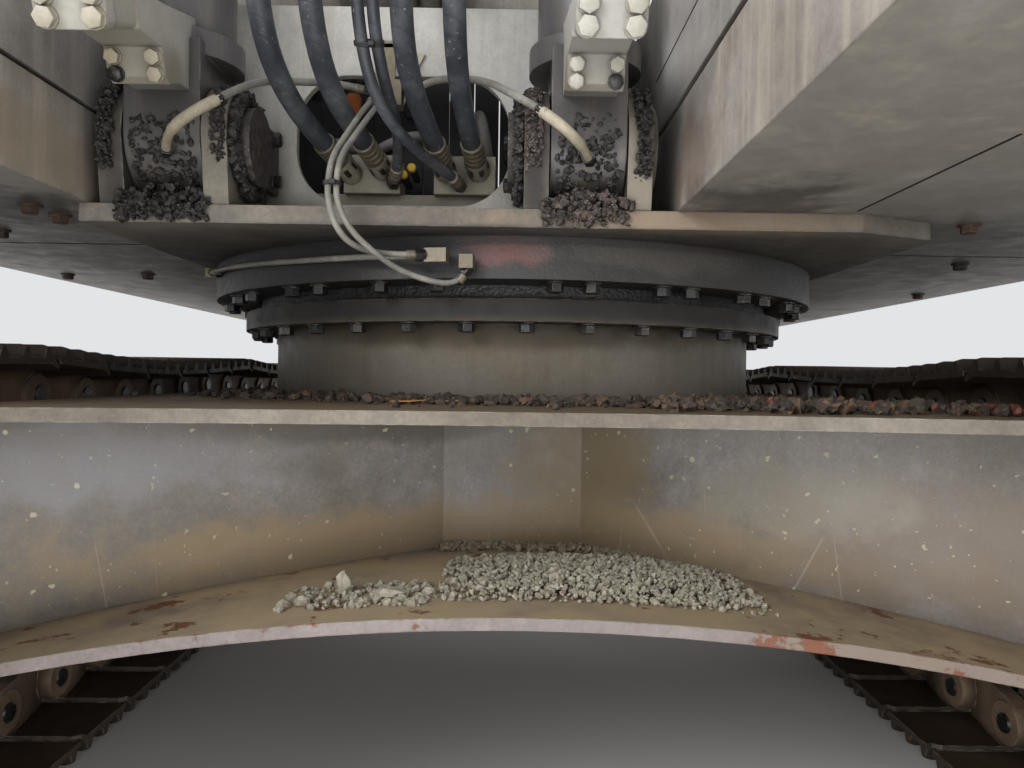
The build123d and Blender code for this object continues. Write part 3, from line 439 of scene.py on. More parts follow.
gear_iron = worn("gear_iron", (84, 72, 62), (60, 50, 43), mottle=0.5, grime_and_shade=0.6, dust=0.6, rust=0.2, grit=0.7,
                 edge=(0.5, 0.004, (150, 138, 124)))
shoe_steel = worn("shoe_steel", (70, 58, 48), (52, 44, 38), mottle=(0.5, 30), grime_and_shade=(0.7, 0.1), rust=0.1,
                  dust=(0.25, (128, 108, 84)), edge=(0.7, 0.004, (168, 158, 142)), grit=0.7)
link_steel = worn("link_steel", (138, 116, 94), (96, 78, 64), mottle=(0.5, 34), grime_and_shade=(0.6, 0.08), rust=0.15,
                  edge=0.4, grit=0.6)
bolt_steel = worn("bolt_steel", (48, 46, 44), (30, 29, 28), rough=0.3, metal=0.3, gloss=0.6, mottle=(0.5, 90),
                  grime_and_shade=(0.5, 0.02, (14, 13, 13)), edge=(0.7, 0.0015, (170, 164, 156)), grit=0.8)
bolt_rusty = worn("bolt_rusty", (84, 62, 52), (58, 46, 40), mottle=(0.5, 90), edge=(0.4, 0.0015), grit=0.8,
                  grime_and_shade=(0.5, 0.02))
bolt_pale = worn("bolt_pale", (180, 177, 167), (156, 146, 124), mottle=(0.3, 70), grime_and_shade=(0.5, 0.012),
                 edge=(0.3, 0.0015, (150, 118, 90)), grit=0.3)
fitting_steel = worn("fitting_steel", (150, 142, 120), (110, 102, 88), rough=0.4, metal=0.4, mottle=(0.4, 70),
                     grime_and_shade=(0.6, 0.015), edge=(0.5, 0.001), grit=0.5)
block_paint = worn("block_paint", (176, 172, 156), (140, 134, 118), mottle=(0.4, 50), grime_and_shade=(0.8, 0.04),
                   grit=0.4, edge=0.3)
hose_rubber = rubber("hose_rubber", (52, 55, 61), (86, 88, 92))
thin_rubber = rubber("thin_rubber", (112, 110, 104), (150, 146, 134), bands=0)
rod_chrome = chrome("rod_chrome")
gravel_stone = stone("gravel_stone", (140, 134, 118), (164, 158, 143), (114, 107, 92))
crumb_stone = stone("crumb_stone", (58, 52, 48), (80, 72, 64), (104, 82, 64))
clod_grease = crusted("clod_grease", (24, 22, 22), (92, 86, 80), 0.20, 240, 0.4)
clod_pale = crusted("clod_pale", (38, 35, 33), (128, 114, 106), 0.28, 240, 0.3, rough=0.7)
mud_stone = stone("mud_stone", (118, 108, 92), (140, 130, 112), (96, 88, 76))
brick_stone = stone("brick_stone", (112, 66, 54), (96, 58, 48), (124, 84, 70))
leaf_dry = stone("leaf_dry", (190, 140, 84), (176, 128, 74), (190, 140, 84))
# Black parts, and near black as painted shade behind the front plate's opening
black_and_painted_shade = worn("black_and_painted_shade", (30, 29, 30), (20, 20, 21), mottle=0.5, grime_and_shade=0.6, grit=0.5,
                  edge=(0.2, 0.004, (70, 68, 66)))
pipe_grey = worn("pipe_grey", (112, 110, 106), (84, 82, 80), mottle=(0.4, 60), grime_and_shade=(0.6, 0.04), grit=0.4,
                 edge=0.2)
sleeve_pale = worn("sleeve_pale", (176, 168, 148), (140, 130, 112), mottle=(0.4, 80), grime_and_shade=(0.4, 0.015),
                   edge=0.1, grit=0.4)
cap_red = worn("cap_red", (176, 50, 42), (150, 44, 38), mottle=0.2, grime_and_shade=(0.3, 0.02), edge=0)
cap_orange = worn("cap_orange", (186, 108, 52), (150, 84, 44), mottle=0.3, grime_and_shade=(0.3, 0.02), edge=0)
cap_yellow = worn("cap_yellow", (206, 176, 60), (180, 150, 50), mottle=0.2, grime_and_shade=(0.3, 0.02), edge=0)
tie_black = worn("tie_black", (40, 40, 42), (52, 52, 54), mottle=0.2, grime_and_shade=0, edge=0, grit=0.1, gloss=0.4)

# Looks of the CAD nodes. A name that ends in _ stands for the left and the right one
node_finish = {
    web_steel: ("carbody_webs",),
    top_plate_steel: ("carbody_top_plate",),
    bottom_plate_steel: ("carbody_bottom_plate",),
    turret_steel: ("turret",),
    ring_steel: ("slew_outer_race",),
    grease_black: ("slew_inner_race", "swivel_joint"),
    floor_steel: ("floor_plate",),
    frame_steel: ("main_plate_", "rear_cross_plate", "tail_plate", "outriggers", "hose_bar", "swing_drive"),
    cross_steel: ("front_cross_plate",),
    ear_steel: ("cylinder_ear_",),
    pin_steel: ("cylinder_pin_",),
    barrel_steel: ("cylinder_barrel_",),
    valve_paint: ("valve_block_",),
    deck_paint: ("cab_deck", "tool_deck", "tail_deck"),
    cab_paint: ("cab_floor_pan", "tool_box"),
    frame_paint: ("track_frame_", "final_drive_"),
    gear_iron: ("sprocket_", "idler_", "rollers_"),
    block_paint: ("hose_manifold",),
    rod_chrome: ("cylinder_rod_",),
}


def dress_nodes():
    for material, names in node_finish.items():
        for name in names:
            for full_name in [name + side for side in both_sides] if name.endswith("_") else [name]:
                nodes[full_name].data.materials.clear()
                nodes[full_name].data.materials.append(material)


class Shape:
    """Points and faces gathered from many small forms, made into one piece at the end."""

    def __init__(self):
        self.points = []
        self.faces = []
        self.finishes = []

    def add(self, form, place=Matrix(), finish=0):
        points, faces = form
        start = len(self.points)
        order = -1 if place.to_3x3().determinant() < 0 else 1
        self.points.extend(place @ Vector(point) for point in points)
        self.faces.extend([start + index for index in face][::order] for face in faces)
        self.finishes.extend([finish] * len(faces))

    def bolt(self, place, width, low, high, disc, thickness, finish=0):
        """A hexagon head over its washer, which stands on the place."""
        self.add(hexagon(width, low, high), place, finish)
        self.add(rod(disc, 0, thickness, 18), place, finish)

    def piece(self, name, body, slot, *materials, angle=35, replaces=()):
        mesh = bpy.data.meshes.new(name)
        mesh.from_pydata(self.points, [], self.faces)
        for material in materials:
            mesh.materials.append(material)
        mesh.polygons.foreach_set("material_index", self.finishes)
        mesh.shade_smooth()
        mesh.set_sharp_from_angle(angle=radians(angle))
        piece = shown(name, mesh)
        if body:
            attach(piece, body)
        if replaces:
            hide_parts(*replaces)
        return piece


def loft(rows):
    """A closed skin over rows that hold as many points each, drawn counterclockwise."""
    count = len(rows[0])
    points = [point for row in rows for point in row]
    faces = []
    for row in range(len(rows) - 1):
        for index in range(count):
            after = (index + 1) % count
            low, high = row * count, (row + 1) * count
            faces.append((low + index, low + after, high + after, high + index))
    faces.append(tuple(range(count))[::-1])
    faces.append(tuple((len(rows) - 1) * count + index for index in range(count)))
    return points, faces


def circle(radius, height, sides):
    angles = [2 * pi * index / sides for index in range(sides)]
    return [(radius * cos(angle), radius * sin(angle), height) for angle in angles]


def lathe(profile, sides):
    """A turned form about Z, from (radius, height) pairs going up."""
    return loft([circle(radius, height, sides) for radius, height in profile])


def rod(radius, low, high, sides):
    return lathe(((radius, low), (radius, high)), sides)


def hexagon(width, low, high):
    """A hexagon head between two heights, with its top edge turned down."""
    radius = width / sqrt(3)
    inset = width * head_chamfer
    return lathe(((radius, low), (radius, high - inset * 0.5), (radius - inset, high)), 6)


def block(low, high):
    """A box between two corners."""
    return loft([[(low[0], low[1], z), (high[0], low[1], z), (high[0], high[1], z), (low[0], high[1], z)]
                 for z in (low[2], high[2])])


at = Matrix.Translation


def facing(place, direction, spin=0.0):
    """Puts a form's Z along a direction at a place."""
    turn = Vector(direction).to_track_quat("Z", "Y").to_matrix().to_4x4()
    return at(place) @ turn @ Matrix.Rotation(spin, 4, "Z")


def tube(path, radii, sides):
    """A round skin along points, with one radius for each."""
    rows = []
    side = None
    for index, point in enumerate(path):
        ahead = path[min(index + 1, len(path) - 1)] - path[max(index - 1, 0)]
        ahead.normalize()
        if side is None:
            side = ahead.orthogonal().normalized()
        side = (side - ahead * side.dot(ahead)).normalized()
        other = ahead.cross(side)
        rows.append([point + (side * x + other * y) * radii[index] for x, y, z in circle(1, 0, sides)])
    return loft(rows)


def shown(name, data):
    """A thing of its own in the scene."""
    thing = bpy.data.objects.new(name, data)
    bpy.context.scene.collection.objects.link(thing)
    return thing


def rough_balls(count, detail, seed, depth):
    """Uneven lumps of about unit radius."""
    source = bmesh.new()
    bmesh.ops.create_icosphere(source, subdivisions=detail, radius=1)
    points = [vertex.co.copy() for vertex in source.verts]
    faces = [tuple(vertex.index for vertex in face.verts) for face in source.faces]
    source.free()
    balls = []
    for index in range(count):
        shift = Vector((seed * 7.3, index * 3.1, index * 1.7))
        balls.append(([tuple(p * (1 + depth * noise.noise(p * 1.6 + shift) * 2)) for p in points], faces))
    return balls


crumbs = rough_balls(12, 1, 1, 0.4)
lumps = rough_balls(10, 2, 2, 0.35)


def tumbled(rng, place, size):
    """A random turn and uneven size for a stone."""
    turn = Matrix.Rotation(rng.uniform(0, 6.28), 4, "Z") @ Matrix.Rotation(rng.uniform(0, 6.28), 4, "X")
    stretch = [size * (1 + rng.uniform(-0.3, 0.3)) for axis in range(3)]
    return at(place) @ turn @ Matrix.Diagonal((*stretch, 1))


def scatter(shape, rng, count, spot, sizes, forms, finish=0):
    """Lumps of random size at the places that spot gives, or none where it gives nothing."""
    for index in range(count):
        place = spot(rng)
        if place is not None:
            shape.add(rng.choice(forms), tumbled(rng, place, rng.choice(sizes)), finish)


# Hoses: length and diameter in metres, and the corners of the route in millimetres
hoses = {
    "hose_1": (1.166, 0.040, (
        (-376, -650, 1356), (-408, -752, 1386), (-428, -862, 1416), (-436, -965, 1466), (-434, -1035, 1552),
        (-420, -1050, 1668), (-405, -990, 1775), (-398, -880, 1846), (-392, -760, 1868), (-390, -640, 1850),
        (-390, -540, 1800))),
    "hose_2": (1.180, 0.040, (
        (-302, -650, 1362), (-322, -750, 1386), (-341, -858, 1412), (-349, -962, 1462), (-348, -1038, 1550),
        (-340, -1056, 1672), (-330, -996, 1782), (-322, -884, 1854), (-317, -762, 1876), (-315, -640, 1856),
        (-315, -540, 1800))),
    "hose_3": (1.174, 0.040, (
        (-161, -650, 1360), (-174, -752, 1384), (-192, -860, 1418), (-201, -962, 1470), (-197, -1040, 1554),
        (-194, -1058, 1670), (-196, -1000, 1780), (-200, -886, 1850), (-202, -764, 1872), (-202, -640, 1852),
        (-202, -540, 1800))),
    "hose_4": (1.142, 0.040, (
        (-88, -650, 1362), (-98, -752, 1388), (-109, -862, 1428), (-112, -960, 1476), (-110, -1032, 1554),
        (-108, -1048, 1664), (-112, -988, 1770), (-120, -878, 1842), (-126, -760, 1864), (-128, -640, 1848),
        (-128, -540, 1800))),
    "pilot_hose_1": (1.155, 0.022, (
        (-129, -632, 1318), (-137, -674, 1320), (-170, -730, 1331), (-207, -803, 1346), (-238, -876, 1369),
        (-262, -922, 1414), (-274, -952, 1474), (-278, -982, 1540), (-279, -1000, 1644), (-279, -970, 1746),
        (-278, -888, 1820), (-277, -772, 1850), (-277, -648, 1838), (-277, -540, 1800))),
    "pilot_hose_2": (1.101, 0.022, (
        (-260, -632, 1328), (-249, -674, 1339), (-237, -744, 1373), (-238, -822, 1402), (-243, -896, 1432),
        (-249, -948, 1479), (-252, -982, 1540), (-249, -1002, 1644), (-245, -973, 1746), (-243, -890, 1820),
        (-241, -774, 1850), (-241, -650, 1838), (-241, -540, 1800))),
    "grease_line_right": (0.337, 0.014, (
        (-301, -738, 1470), (-352, -760, 1478), (-423, -790, 1467), (-459, -830, 1455), (-495, -898, 1420),
        (-526, -957, 1370))),
    "grease_line_left": (0.403, 0.014, (
        (-218, -739, 1470), (-187, -755, 1480), (-144, -790, 1479), (-64, -840, 1458), (-8, -940, 1395),
        (46, -988, 1347))),
    "ring_line_1": (0.557, 0.011, (
        (-281, -768, 1447), (-295, -806, 1414), (-312, -862, 1352), (-327, -930, 1288), (-328, -960, 1232),
        (-324, -971, 1196), (-314, -966, 1160), (-297, -941, 1134), (-268, -905, 1124), (-226, -872, 1124),
        (-180, -856, 1127))),
    "ring_line_2": (0.641, 0.011, (
        (-93, -841, 1100), (-104, -842, 1081), (-142, -853, 1073), (-213, -882, 1092), (-257, -920, 1122),
        (-291, -952, 1154), (-308, -970, 1193), (-314, -960, 1230), (-313, -930, 1287), (-298, -862, 1348),
        (-278, -806, 1410), (-261, -768, 1447))),
    "rim_line": (0.723, 0.012, (
        (-180, -837, 1126), (-236, -826, 1128), (-330, -784, 1130), (-430, -724, 1132), (-520, -655, 1136),
        (-602, -578, 1140), (-676, -494, 1144), (-735, -402, 1146))),
}
routes = {name: [tuple(part / 1000 for part in corner) for corner in hose[2]] for name, hose in hoses.items()}
pilot_hoses = ("pilot_hose_1", "pilot_hose_2")


def add_hose(name):
    """A hose as one smooth line over its route's corners."""
    length, diameter, corners = hoses[name]
    curve = bpy.data.curves.new(name + "_line", "CURVE")
    curve.dimensions = "3D"
    curve.bevel_depth = diameter / 2
    curve.bevel_resolution = 5
    curve.resolution_u = 10
    curve.use_fill_caps = True
    curve.materials.append(hose_rubber if diameter > 0.015 else thin_rubber)
    spline = curve.splines.new("NURBS")
    spline.points.add(len(corners) - 1)
    for point, place in zip(spline.points, routes[name]):
        point.co = (*place, 1)
    spline.order_u = 3
    spline.use_endpoint_u = True
    hose = shown(name + "_line", curve)
    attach(hose, "upper_frame")
    if name in nodes:
        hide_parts(name)


def add_camera():
    forward = Vector((sin(camera_yaw) * cos(camera_pitch), cos(camera_yaw) * cos(camera_pitch),
                      sin(camera_pitch)))
    level = Vector((cos(camera_yaw), -sin(camera_yaw), 0))
    above = level.cross(forward)
    right = level * cos(camera_roll) + above * sin(camera_roll)
    up = above * cos(camera_roll) - level * sin(camera_roll)
    data = bpy.data.cameras.new("camera")
    data.sensor_width = sensor_width
    data.lens = focal_pixels / image_width * sensor_width
    camera = shown("camera", data)
    turn = Matrix((right, up, -forward)).transposed().to_4x4()
    camera.matrix_world = at(camera_place) @ turn
    bpy.context.scene.camera = camera


def add_light(name, place, target, size, power):
    data = bpy.data.lights.new(name, "AREA")
    data.shape = "RECTANGLE"
    data.size, data.size_y = size
    data.energy = power
    light = shown(name, data)
    light.matrix_world = facing(place, Vector(place) - Vector(target))
    light.visible_camera = False


def add_surroundings():
    """A pale floor, a pale sky and soft lamps."""
    bpy.context.scene.view_settings.view_transform = "Standard"
    g = Finish("floor_pale")
    reach = 30
    mesh = bpy.data.meshes.new("floor")
    mesh.from_pydata([(-reach, -reach, 0), (reach, -reach, 0), (reach, reach, 0), (-reach, reach, 0)], [],
                     [(0, 1, 2, 3)])
    mesh.materials.append(g.fill(g.mix(g.noise(0.8, 2), (206, 205, 202), (212, 211, 208)), 0.9))
    shown("floor", mesh)
    world = bpy.data.worlds.new("sky")
    bpy.context.scene.world = world
    world.use_nodes = True
    g = Graph(world.node_tree)
    seen = g.add("Background", {0: (226, 228, 230), 1: 1.0})
    lit = g.add("Background", {0: (244, 247, 252), 1: 0.95})
    rays = g.add("LightPath", {}).node.outputs
    share = rays["Is Camera Ray"]
    for other in ("Is Glossy Ray", "Is Transmission Ray"):
        share = g.math("MAXIMUM", share, rays[other])
    g.add("OutputWorld", {0: g.add("MixShader", {0: share, 1: lit, 2: seen})})
    add_light("key", (-4.5, -6.0, 4.0), (0, 0, 1.0), (4, 3), 420)
    add_light("fill", (5.5, -5.0, 2.5), (0, 0, 1.0), (4, 3), 180)
    add_light("back", (-3.0, 7.0, 5.0), (0, 0, 1.0), (4, 3), 260)
    add_light("front_low", (0.1, -3.6, 0.35), (0, -0.6, 1.0), (3.2, 0.6), 34)
    add_light("under", (0.0, -1.75, 0.03), (0.0, -1.0, 1.3), (1.5, 0.7), 9)


def pin_place(distance):
    """Y and Z of the chain line at a distance along the loop from the front of the lower run."""
    wheel_z = low_pin_z + pitch_radius
    arc = pi * pitch_radius
    distance %= 2 * wheelbase + 2 * arc
    if distance < wheelbase:
        return distance - wheelbase / 2, low_pin_z
    distance -= wheelbase
    if distance < arc:
        turn = distance / pitch_radius
        return wheelbase / 2 + pitch_radius * sin(turn), wheel_z - pitch_radius * cos(turn)
    distance -= arc
    if distance < wheelbase:
        sag = upper_run_sag * abs(sin((carrier_count + 1) * pi * distance / wheelbase))
        return wheelbase / 2 - distance, wheel_z + pitch_radius - sag
    turn = (distance - wheelbase) / pitch_radius
    return -wheelbase / 2 - pitch_radius * sin(turn), wheel_z + pitch_radius * cos(turn)


def link_places(x):
    """One matrix for each link: X across, Y along the chain and Z outwards."""
    places = []
    for index in range(link_count):
        start = Vector((0, *pin_place(index * link_pitch)))
        end = Vector((0, *pin_place((index + 1) * link_pitch)))
        along = (end - start).normalized()
        outward = Vector((0, along.z, -along.y))
        columns = Matrix((Vector((1, 0, 0)), along, outward)).transposed().to_4x4()
        middle = (start + end) / 2
        places.append(at((x, middle.y, middle.z)) @ columns)
    return places


def shoe_form():
    """A shoe plate with three grousers, whose front lip laps inside the shoe before it."""
    outline = [(-0.122, 0.048), (-0.104, 0.058), (-0.096, plate_in), (0.103, plate_in),
               (0.105, plate_out - 0.003), (0.100, plate_out)]
    flank = ((0.015, plate_out), (0.009, grouser_shoulder), (0.005, grouser_out))
    for centre in reversed(grouser_places):
        outline += [(centre + reach, level) for reach, level in flank]
        outline += [(centre - reach, level) for reach, level in reversed(flank)]
    outline += [(-0.094, plate_out), (-0.108, 0.071), (-0.124, 0.056)]
    inner = shoe_half - 0.016
    rows = []
    for x, cut, wear in ((-shoe_half, 0.012, 0.006), (-inner, 0, 0.001), (-0.1, 0, 0), (0.1, 0, 0.001),
                         (inner, 0, 0.001), (shoe_half, 0.012, 0.006)):
        rows.append([(x, along + cut if along < -0.09 else along, level - wear if level > 0.09 else level)
                     for along, level in outline])
    return loft(rows)


def link_form(side):
    """One side link: a rail with a jog in it, so that its ends pass outside and inside its neighbours."""
    half_rows = ((-0.142, -0.046, 0.030, 1, 0.0165), (-0.120, -0.060, 0.052, 1, 0.0165),
                 (-0.085, -0.065, plate_in, 0.9, 0.0175), (-0.030, -0.065, plate_in, 0.35, 0.0185))
    rows = []
    for along, low, high, jog, half in half_rows + tuple((-row[0], *row[1:3], -row[3], row[4])
                                                         for row in reversed(half_rows)):
        x = side * (rail_offset + jog * link_jog)
        rows.append([(x - half, along, low), (x - half, along, high), (x + half, along, high),
                     (x + half, along, low)])
    return loft(rows)


def mirrored(*profile):
    """A turned profile from one end to the middle, and back to the other end."""
    return profile + tuple((radius, -height) for radius, height in reversed(profile))


boss_form = lathe(mirrored((0.030, -0.0215), (0.050, -0.0215), (0.053, -0.017)), 22)
pin_form = lathe(mirrored((0.021, -0.134), (0.0235, -0.131)), 16)


def add_track(side_name, side):
    track = Shape()
    shoe = shoe_form()
    nut = hexagon(0.032, 0, 0.017)
    across = Matrix.Rotation(pi / 2, 4, "Y")
    for place in link_places(side * gauge_half):
        track.add(shoe, place, 0)
        for row in (-1, 1):
            track.add(link_form(row), place, 1)
            for end in (-1, 1):
                boss_place = (row * (rail_offset - end * link_jog), end * link_pitch / 2, 0)
                track.add(boss_form, place @ at(boss_place) @ across, 1)
            for along in shoe_bolt_places:
                track.add(nut, place @ at((row * rail_offset, along, plate_out)), 2)
        track.add(pin_form, place @ at((0, link_pitch / 2, 0)) @ across, 2)
    track.piece("track_chain_" + side_name, "undercarriage", "track_steel", shoe_steel, link_steel,
                bolt_steel, replaces=("track_" + side_name,))


def ring_point(radius, angle, z):
    """A point on a circle about the slewing axis, at an angle in degrees from the front to the cab's side."""
    turn = radians(angle)
    return Vector((radius * sin(turn), -radius * cos(turn), z))


def add_ring_bolts():
    rng = random.Random(11)
    head = hexagon(0.030, 0.004, 0.022)
    washer = lathe(((0.0215, 0), (0.0215, 0.0035), (0.020, 0.0045)), 18)
    lower_angles = [lower_bolt_phase + index * 360 / lower_bolt_count for index in range(lower_bolt_count)]
    upper_angles = list(upper_bolts_in_front)
    for angle in upper_pair_angles:
        upper_angles += [angle - upper_pair_spread / 2, angle + upper_pair_spread / 2]
    under_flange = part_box("turret")[1].z - turret_flange
    under_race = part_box("slew_outer_race")[0].z
    for name, body, radius, z, angles in (
            ("lower", "undercarriage", lower_bolt_circle, under_flange, lower_angles),
            ("upper", "upper_frame", upper_bolt_circle, under_race, upper_angles)):
        bolts = Shape()
        for angle in angles:
            place = facing(ring_point(radius, angle, z), (0, 0, -1), rng.uniform(0, 3))
            bolts.add(head, place)
            bolts.add(washer, place)
        bolts.piece("ring_bolts_" + name, body, "greased_steel", bolt_steel)


def plate_height(x):
    """The top of the arched lower plate."""
    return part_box("carbody_bottom_plate")[1].z - (arch_radius - sqrt(arch_radius ** 2 - x * x))


def web_front(x):
    """Y of the web's face near the middle."""
    return web_middle_y - max(0, abs(x) - web_flat_half) * web_slope


def add_gravel():
    """Crushed stone that has gathered on the lower plate in front of the web, and mud at the web's foot."""
    rng = random.Random(23)
    heap = Shape()
    for index in range(5600):
        x = rng.uniform(-0.13, 0.44)
        y = rng.uniform(-1.02, -0.70)
        share = max(0, 1 - ((x - 0.16) / 0.29) ** 2) * max(0, 1 - ((y + 0.85) / 0.17) ** 2)
        if y > web_front(x) - 0.01 or rng.random() > 0.12 + share * 1.2:
            continue
        size = rng.choice((0.0026, 0.0034, 0.0042, 0.005, 0.0062))
        z = plate_height(x) + 0.026 * share * rng.uniform(0.4, 1.0) + size * 0.4
        heap.add(rng.choice(crumbs), tumbled(rng, (x, y, z), size))
    for index in range(220):
        x = rng.uniform(-0.39, -0.14)
        size = rng.choice((0.003, 0.004, 0.006, 0.008))
        crumb = rng.choice(crumbs)
        heap.add(crumb, tumbled(rng, (x, rng.uniform(-1.04, -0.90), plate_height(x) + size * 0.5), size))
    for x, y, wide, high in ((-0.291, -0.960, 0.013, 0.023), (-0.202, -0.990, 0.027, 0.010),
                             (-0.35, -1.01, 0.015, 0.010), (0.28, -0.91, 0.014, 0.011),
                             (0.05, -0.94, 0.013, 0.010), (-0.05, -0.92, 0.012, 0.009)):
        place = at((x, y, plate_height(x) + high * 0.7))
        heap.add(rng.choice(lumps), place @ Matrix.Diagonal((wide, wide * 0.7, high, 1)))
    heap.piece("gravel_heap", "undercarriage", "undercarriage_steel", gravel_stone, angle=20)
    mud = Shape()

    def at_web(rng):
        x = rng.uniform(-0.15, 0.30)
        y = web_front(x) - abs(rng.gauss(0, 0.014)) - 0.003
        return Vector((x, y, plate_height(x) + rng.uniform(0.001, 0.008)))

    scatter(mud, rng, 900, at_web, (0.003, 0.004, 0.006, 0.008), crumbs)
    mud.piece("mud_ridge", "undercarriage", "undercarriage_steel", mud_stone, angle=20)


def add_crumbs():
    """Dry crumbs of dirt round the turret and on the top plate, with larger clods on the cab's side."""
    rng = random.Random(31)
    dirt = Shape()
    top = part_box("carbody_top_plate")[1].z
    for index in range(2200):
        angle = rng.choice((rng.uniform(-180, 180), rng.uniform(-60, 75), rng.uniform(-20, 70)))
        radius = 0.668 + abs(rng.gauss(0, 0.09))
        size = rng.choice((0.003, 0.004, 0.006, 0.008, 0.011))
        place = ring_point(radius, angle, top + size * rng.uniform(0.2, 0.9))
        dirt.add(rng.choice(crumbs), tumbled(rng, place, size))

    def at_right(rng):
        return Vector((rng.uniform(0.25, 0.85), rng.uniform(-1.05, -0.74), top + rng.uniform(0.003, 0.012)))

    scatter(dirt, rng, 150, at_right, (0.006, 0.008, 0.011, 0.014), lumps)
    scatter(dirt, rng, 12, at_right, (0.007, 0.010), lumps, 1)
    leaf = loft([[(-0.035, 0, 0.002), (0, -0.009, 0.001), (0.035, 0, 0.004), (0, 0.009, 0.001)],
                 [(-0.034, 0, 0.003), (0, -0.008, 0.002), (0.034, 0, 0.005), (0, 0.008, 0.002)]])
    for x, y, turn in ((-0.20, -0.84, 0.3), (-0.13, -0.81, -0.2)):
        dirt.add(leaf, at((x, y, top + 0.004)) @ Matrix.Rotation(turn, 4, "Z"), 2)
    dirt.piece("dirt_crumbs", "undercarriage", "undercarriage_steel", crumb_stone, brick_stone, leaf_dry,
               angle=20)


def smooth_line(route, steps=6):
    """Points on the smooth line over a route's corners."""
    route = [Vector(point) for point in route]
    points = [route[0]]
    for index in range(len(route) - 2):
        start = route[0] if index == 0 else (route[index] + route[index + 1]) / 2
        end = route[-1] if index == len(route) - 3 else (route[index + 1] + route[index + 2]) / 2
        for step in range(1, steps + 1):
            t = step / steps
            points.append(start * (1 - t) ** 2 + route[index + 1] * 2 * t * (1 - t) + end * t ** 2)
    return points


def add_fittings():
    """Crimped sleeves and nuts at the hose ends, with ties round the thin lines."""
    fittings = Shape()
    for name in ("hose_1", "hose_2", "hose_3", "hose_4", *pilot_hoses):
        thick = hoses[name][1] / 2
        line = smooth_line(routes[name])
        place = facing(line[0], (line[1] - line[0]).normalized())
        fittings.add(hexagon(thick * 2.3, -0.034, -0.008), place, 1)
        length = thick * 3.2
        radius = thick + 0.0035
        groove = radius - 0.0022
        profile = [(radius - 0.002, -0.008), (radius, -0.005)]
        for ring in range(3):
            z = length * (0.2 + 0.25 * ring)
            profile += [(radius, z), (groove, z + 0.003), (groove, z + 0.007), (radius, z + 0.010)]
        profile += [(radius, length), (radius - 0.003, length + 0.002)]
        fittings.add(lathe(profile, 20), place, 0)
    across = Vector((1, 0, 0))
    for centre, along, half, radius in ties:
        centre = Vector(centre)
        along = Vector(along).normalized()
        deep = along.cross(across)
        path = []
        for step in range(27):
            angle = 2 * pi * step / 24
            shift = half if cos(angle) > 0 else -half
            path.append(centre + across * (shift + radius * cos(angle)) + deep * radius * sin(angle))
        for shift in (-0.002, 0.002):
            fittings.add(tube([point + along * shift for point in path], [0.0022] * len(path), 6), finish=2)
        lock_place = at(centre - deep * radius + across * half * 0.5)
        fittings.add(block((-0.005, -0.009, -0.004), (0.005, 0.002, 0.004)), lock_place, 2)
    fittings.piece("hose_fittings", "upper_frame", "frame_steel", fitting_steel, bolt_steel, tie_black)


def add_union(shape, place, size):
    """A block with a plug in its back, turned to face away from the slewing axis."""
    placed = at(place) @ Matrix.Rotation(atan2(place[0], -place[1]), 4, "Z")
    half = [length / 2 for length in size]
    shape.add(block([-length for length in half], half), placed)
    shape.add(rod(0.009, 0, 0.042, 14), placed @ facing((0, 0, 0), (0, 1, 0)), 1)


def add_line_fittings():
    """The block that shares the grease out, and what the thin lines end in. Returns what one line carries."""
    sharer = Shape()
    sharer.add(block(grease_block_place - grease_block_half, grease_block_place + grease_block_half))
    sharer = sharer.piece("grease_block", "upper_frame", "frame_steel", fitting_steel)
    others = Shape()
    for low, high in strap_corners:
        others.add(block(low, high))
    for name in [name for name in hoses if "line" in name]:
        line = smooth_line(routes[name])
        ends = ((line[0], line[1] - line[0]), (line[-1], line[-2] - line[-1]))
        for place, toward in ends[:1] if "grease" in name else ends:
            others.add(hexagon(0.018, -0.010, 0.010), facing(place, toward), 1)
            others.add(lathe(((0.0085, 0.010), (0.0085, 0.024), (0.0070, 0.026)), 14), facing(place, toward))
    unions = Shape()
    for place, size in ring_union_places:
        add_union(unions, place, size)
    add_union(others, *rim_union_place)
    for name in pilot_hoses:
        start, before, end = [Vector(routes[name][index]) for index in (0, -2, -1)]
        sleeve = lathe(((0.0145, -0.034), (0.0145, 0.0), (0.0095, 0.002), (0.0095, 0.082)), 16)
        others.add(sleeve, facing(end, (end - before).normalized()))
        others.add(rod(0.0095, -0.040, 0.0, 14),
                   facing(start, (0, 1, 0)) @ at((0, 0, 0.040)), 1)
    unions = unions.piece("ring_unions", "upper_frame", "frame_steel", fitting_steel, bolt_steel)
    others.piece("line_fittings", "upper_frame", "frame_steel", fitting_steel, bolt_steel)
    return [sharer, unions]


def add_grease_ends():
    """The last bend of each grease line, from its clip to the cylinder's eye."""
    ends = {}
    for side_name, path in (
            ("right", ((-0.521, -0.948, 1.377), (-0.536, -0.970, 1.358), (-0.558, -0.981, 1.338),
                       (-0.584, -0.978, 1.320), (-0.608, -0.955, 1.304), (-0.626, -0.912, 1.297))),
            ("left", ((0.035, -0.978, 1.356), (0.062, -0.996, 1.332), (0.084, -0.992, 1.315),
                      (0.103, -0.972, 1.304), (0.117, -0.944, 1.296), (0.127, -0.912, 1.291)))):
        line = smooth_line(path, 4)
        end = Shape()
        end.add(tube(line, [0.0098] * (len(line) - 5) + [0.0078] * 5, 12))
        end.add(hexagon(0.022, -0.012, 0.006), facing(line[-1], (line[-1] - line[-2]).normalized()), 1)
        end.add(hexagon(0.019, -0.006, 0.006), facing(line[0], line[0] - line[1]), 1)
        piece = end.piece("grease_end_" + side_name, None, "hose_rubber", sleeve_pale, bolt_steel)
        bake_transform(piece)
        ends["grease_line_" + side_name] = [piece]
    return ends


